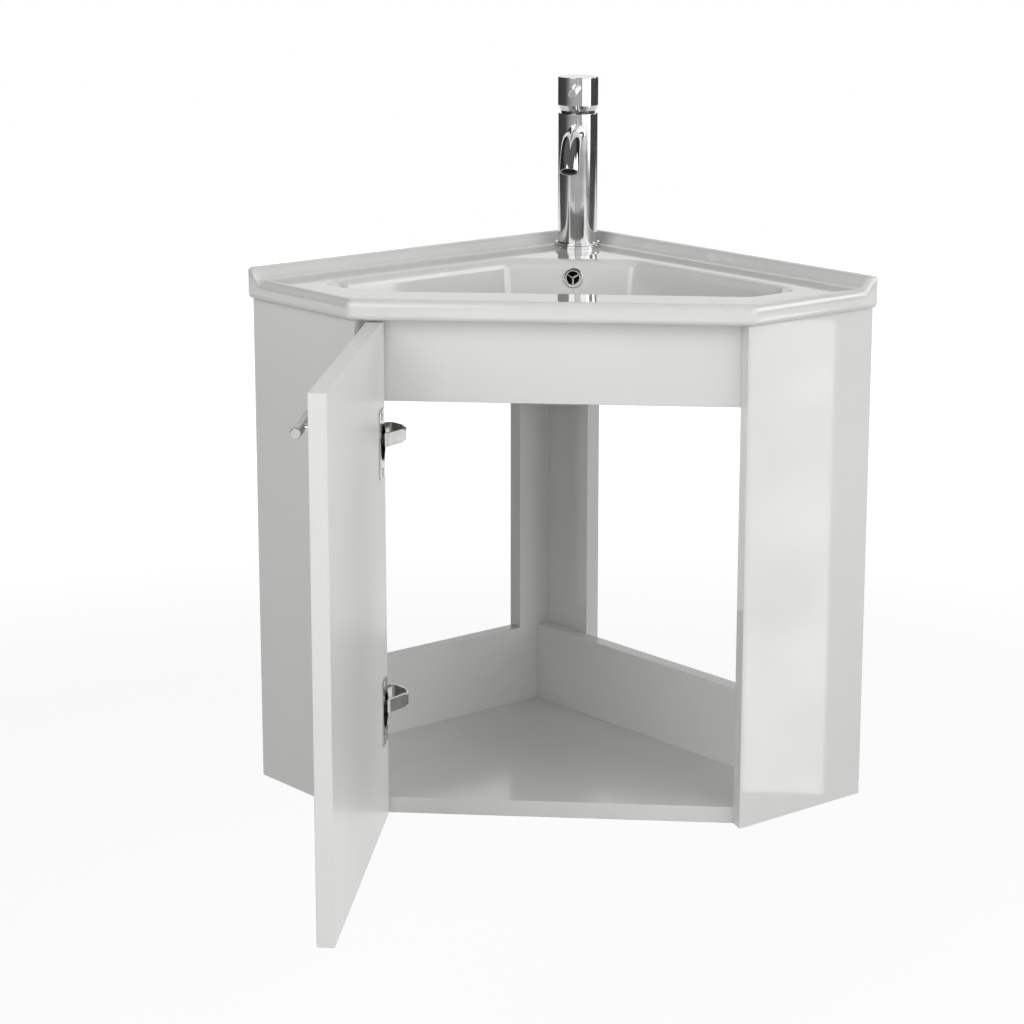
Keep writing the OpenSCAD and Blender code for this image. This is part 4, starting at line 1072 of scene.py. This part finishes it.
world = bpy.data.worlds.new("studio")
bpy.context.scene.world = world
world.use_nodes = True
tree = world.node_tree
tree.nodes.clear()
way = add(tree, "ShaderNodeTexCoord").outputs["Generated"]
height = add(tree, "ShaderNodeSeparateXYZ", way).outputs["Z"]
flat = add(tree, "ShaderNodeVectorMath", way, (1, 1, 0), operation="MULTIPLY")
level_way = add(tree, "ShaderNodeVectorMath", flat, operation="NORMALIZE")
back = add(tree, "ShaderNodeSeparateXYZ", level_way).outputs["Y"]
ahead = add(tree, "ShaderNodeMapRange", back, From_Min=1.0, From_Max=-1.0)
seen = (0, 0, 0, 1)
for stops, start, end in BANDS:
    grey = add(tree, "ShaderNodeValToRGB", ahead)
    elements = grey.color_ramp.elements
    while len(elements) < len(stops):
        elements.new(0.5)
    for element, (place, brightness) in zip(elements, stops):
        element.position, element.color = place, (brightness, brightness, brightness, 1)
    rise = add(tree, "ShaderNodeMapRange", height, From_Min=start, From_Max=end,
               interpolation_type="SMOOTHSTEP")
    seen = add(tree, "ShaderNodeMixRGB", rise, seen, grey)


def white_to_camera(tree, others_see, camera_sees, mirrored_where=1.0):
    """One shader for the camera's rays and for mirrored ones, and another for the rest."""
    ray = add(tree, "ShaderNodeLightPath").outputs
    mirrored = add(tree, "ShaderNodeMath", ray["Is Glossy Ray"], ray["Is Transmission Ray"],
                   operation="MAXIMUM")
    shown = add(tree, "ShaderNodeMath", mirrored, mirrored_where, operation="MULTIPLY")
    white_share = add(tree, "ShaderNodeMath", ray["Is Camera Ray"], shown,
                      operation="MAXIMUM")
    return add(tree, "ShaderNodeMixShader", white_share, others_see, camera_sees)


dim = add(tree, "ShaderNodeBackground", seen, Strength=1.0)
white = add(tree, "ShaderNodeBackground", (1, 1, 1, 1), Strength=1.0)
behind = add(tree, "ShaderNodeMath", back, cos(radians(BACKDROP_HALF)),
             operation="GREATER_THAN")
add(tree, "ShaderNodeOutputWorld", white_to_camera(tree, dim, white, behind))
print("Room brightness behind and in front:", ROOM[0][1], ROOM[-1][1])

# %% [markdown]
# To the light, the floor is a grey card. The camera sees it almost white: mostly its own
# glow, and near the unit a share of a white card's real shade, so that the soft shadow stays.
# The share fades out with distance.

# %% Floor
def stage_plane(name, corners, material):
    mesh = bpy.data.meshes.new(name)
    mesh.from_pydata([Vector(c) for c in corners], [], [(0, 1, 2, 3)])
    mesh.materials.append(material)
    plane = new_object(name, mesh)
    return plane


floor_level, floor_reach, floor_glow = -0.42, 6.0, 1.235
shade_share, shade_near, shade_far = 0.3, 1.5, 4.0
floor_material, tree, shader = new_material("pale_floor", Base_Color=linear("#9A9A9A"),
                                            Roughness=0.9)
from_unit = add(tree, "ShaderNodeVectorMath", add(tree, "ShaderNodeNewGeometry"),
                operation="LENGTH").outputs["Value"]
shade = add(tree, "ShaderNodeMapRange", from_unit, From_Min=shade_near, From_Max=shade_far,
            To_Min=shade_share, To_Max=0.0, interpolation_type="SMOOTHSTEP")
glow = add(tree, "ShaderNodeEmission", (1, 1, 1, 1), Strength=floor_glow)
card = add(tree, "ShaderNodeBsdfDiffuse", linear("#E6E6E6"))
nearly_white = add(tree, "ShaderNodeMixShader", shade, glow, card)
add(tree, tree.nodes["Material Output"], white_to_camera(tree, shader, nearly_white))
stage_plane("floor", [(x * floor_reach, y * floor_reach, floor_level)
                      for x, y in ((-1, -1), (1, -1), (1, 1), (-1, 1))], floor_material)

# %% [markdown]
# ## Lights
#
# Each softbox is placed by its angle round the unit from the front and by its height angle.
# A tall box gives a long soft highlight down every upright edge.

# %% Lights
light_target, light_distance = Vector((0, -0.35, 0.35)), 3.4


def softbox(name, turned_by, raised_by, width, height, power):
    light = bpy.data.lights.new(name, "AREA")
    light.shape = "RECTANGLE"
    light.size, light.size_y, light.energy = width, height, power
    lamp = new_object(name, light)
    a, e = radians(turned_by), radians(raised_by)
    out = Vector((sin(a) * cos(e), -cos(a) * cos(e), sin(e)))
    lamp.location = light_target + out * light_distance
    lamp.rotation_euler = (-out).to_track_quat("-Z", "Y").to_euler()


softbox("left_softbox", -30, 22, 2.4, 2.6, 42)
softbox("left_top_softbox", -30, 45, 1.4, 1.4, 13)
softbox("right_softbox", 48, 20, 2.4, 2.8, 46)
softbox("right_low_softbox", 75, 7, 1.0, 1.2, 12)
softbox("right_rear_softbox", 120, 14, 1.0, 1.4, 22)
softbox("camera_fill", 12, 10, 2.2, 1.0, 8)

# %% [markdown]
# A window on the right shows in the lacquer of the right side panel and, higher up, in the
# glaze of the basin's edge. Its two panes are cards that mirrored rays alone can see, with
# the slightly uneven glow of daylight.

# %% Window cards
window_x = 1.5
window, tree, _ = new_material("window_glow")
tree.nodes.clear()
patches = add(tree, "ShaderNodeTexNoise", add(tree, "ShaderNodeTexCoord").outputs["Object"],
              Scale=1 / (120 * MM), Detail=2)
brightness = add(tree, "ShaderNodeMapRange", patches, From_Min=0.35, From_Max=0.65, To_Min=2.9,
                 To_Max=4.1)
add(tree, "ShaderNodeOutputMaterial", add(tree, "ShaderNodeEmission", Strength=brightness))
for name, near_y, far_y, low_z, high_z in (("low_pane", -0.425, -0.31, floor_level, 0.26),
                                           ("high_pane", -0.60, 0.12, 0.84, 1.9)):
    pane = stage_plane(name, [(window_x, near_y, low_z), (window_x, far_y, low_z),
                              (window_x, far_y, high_z), (window_x, near_y, high_z)], window)
    pane.visible_camera = pane.visible_diffuse = pane.visible_shadow = False

bpy.context.scene.view_settings.view_transform = "Standard"
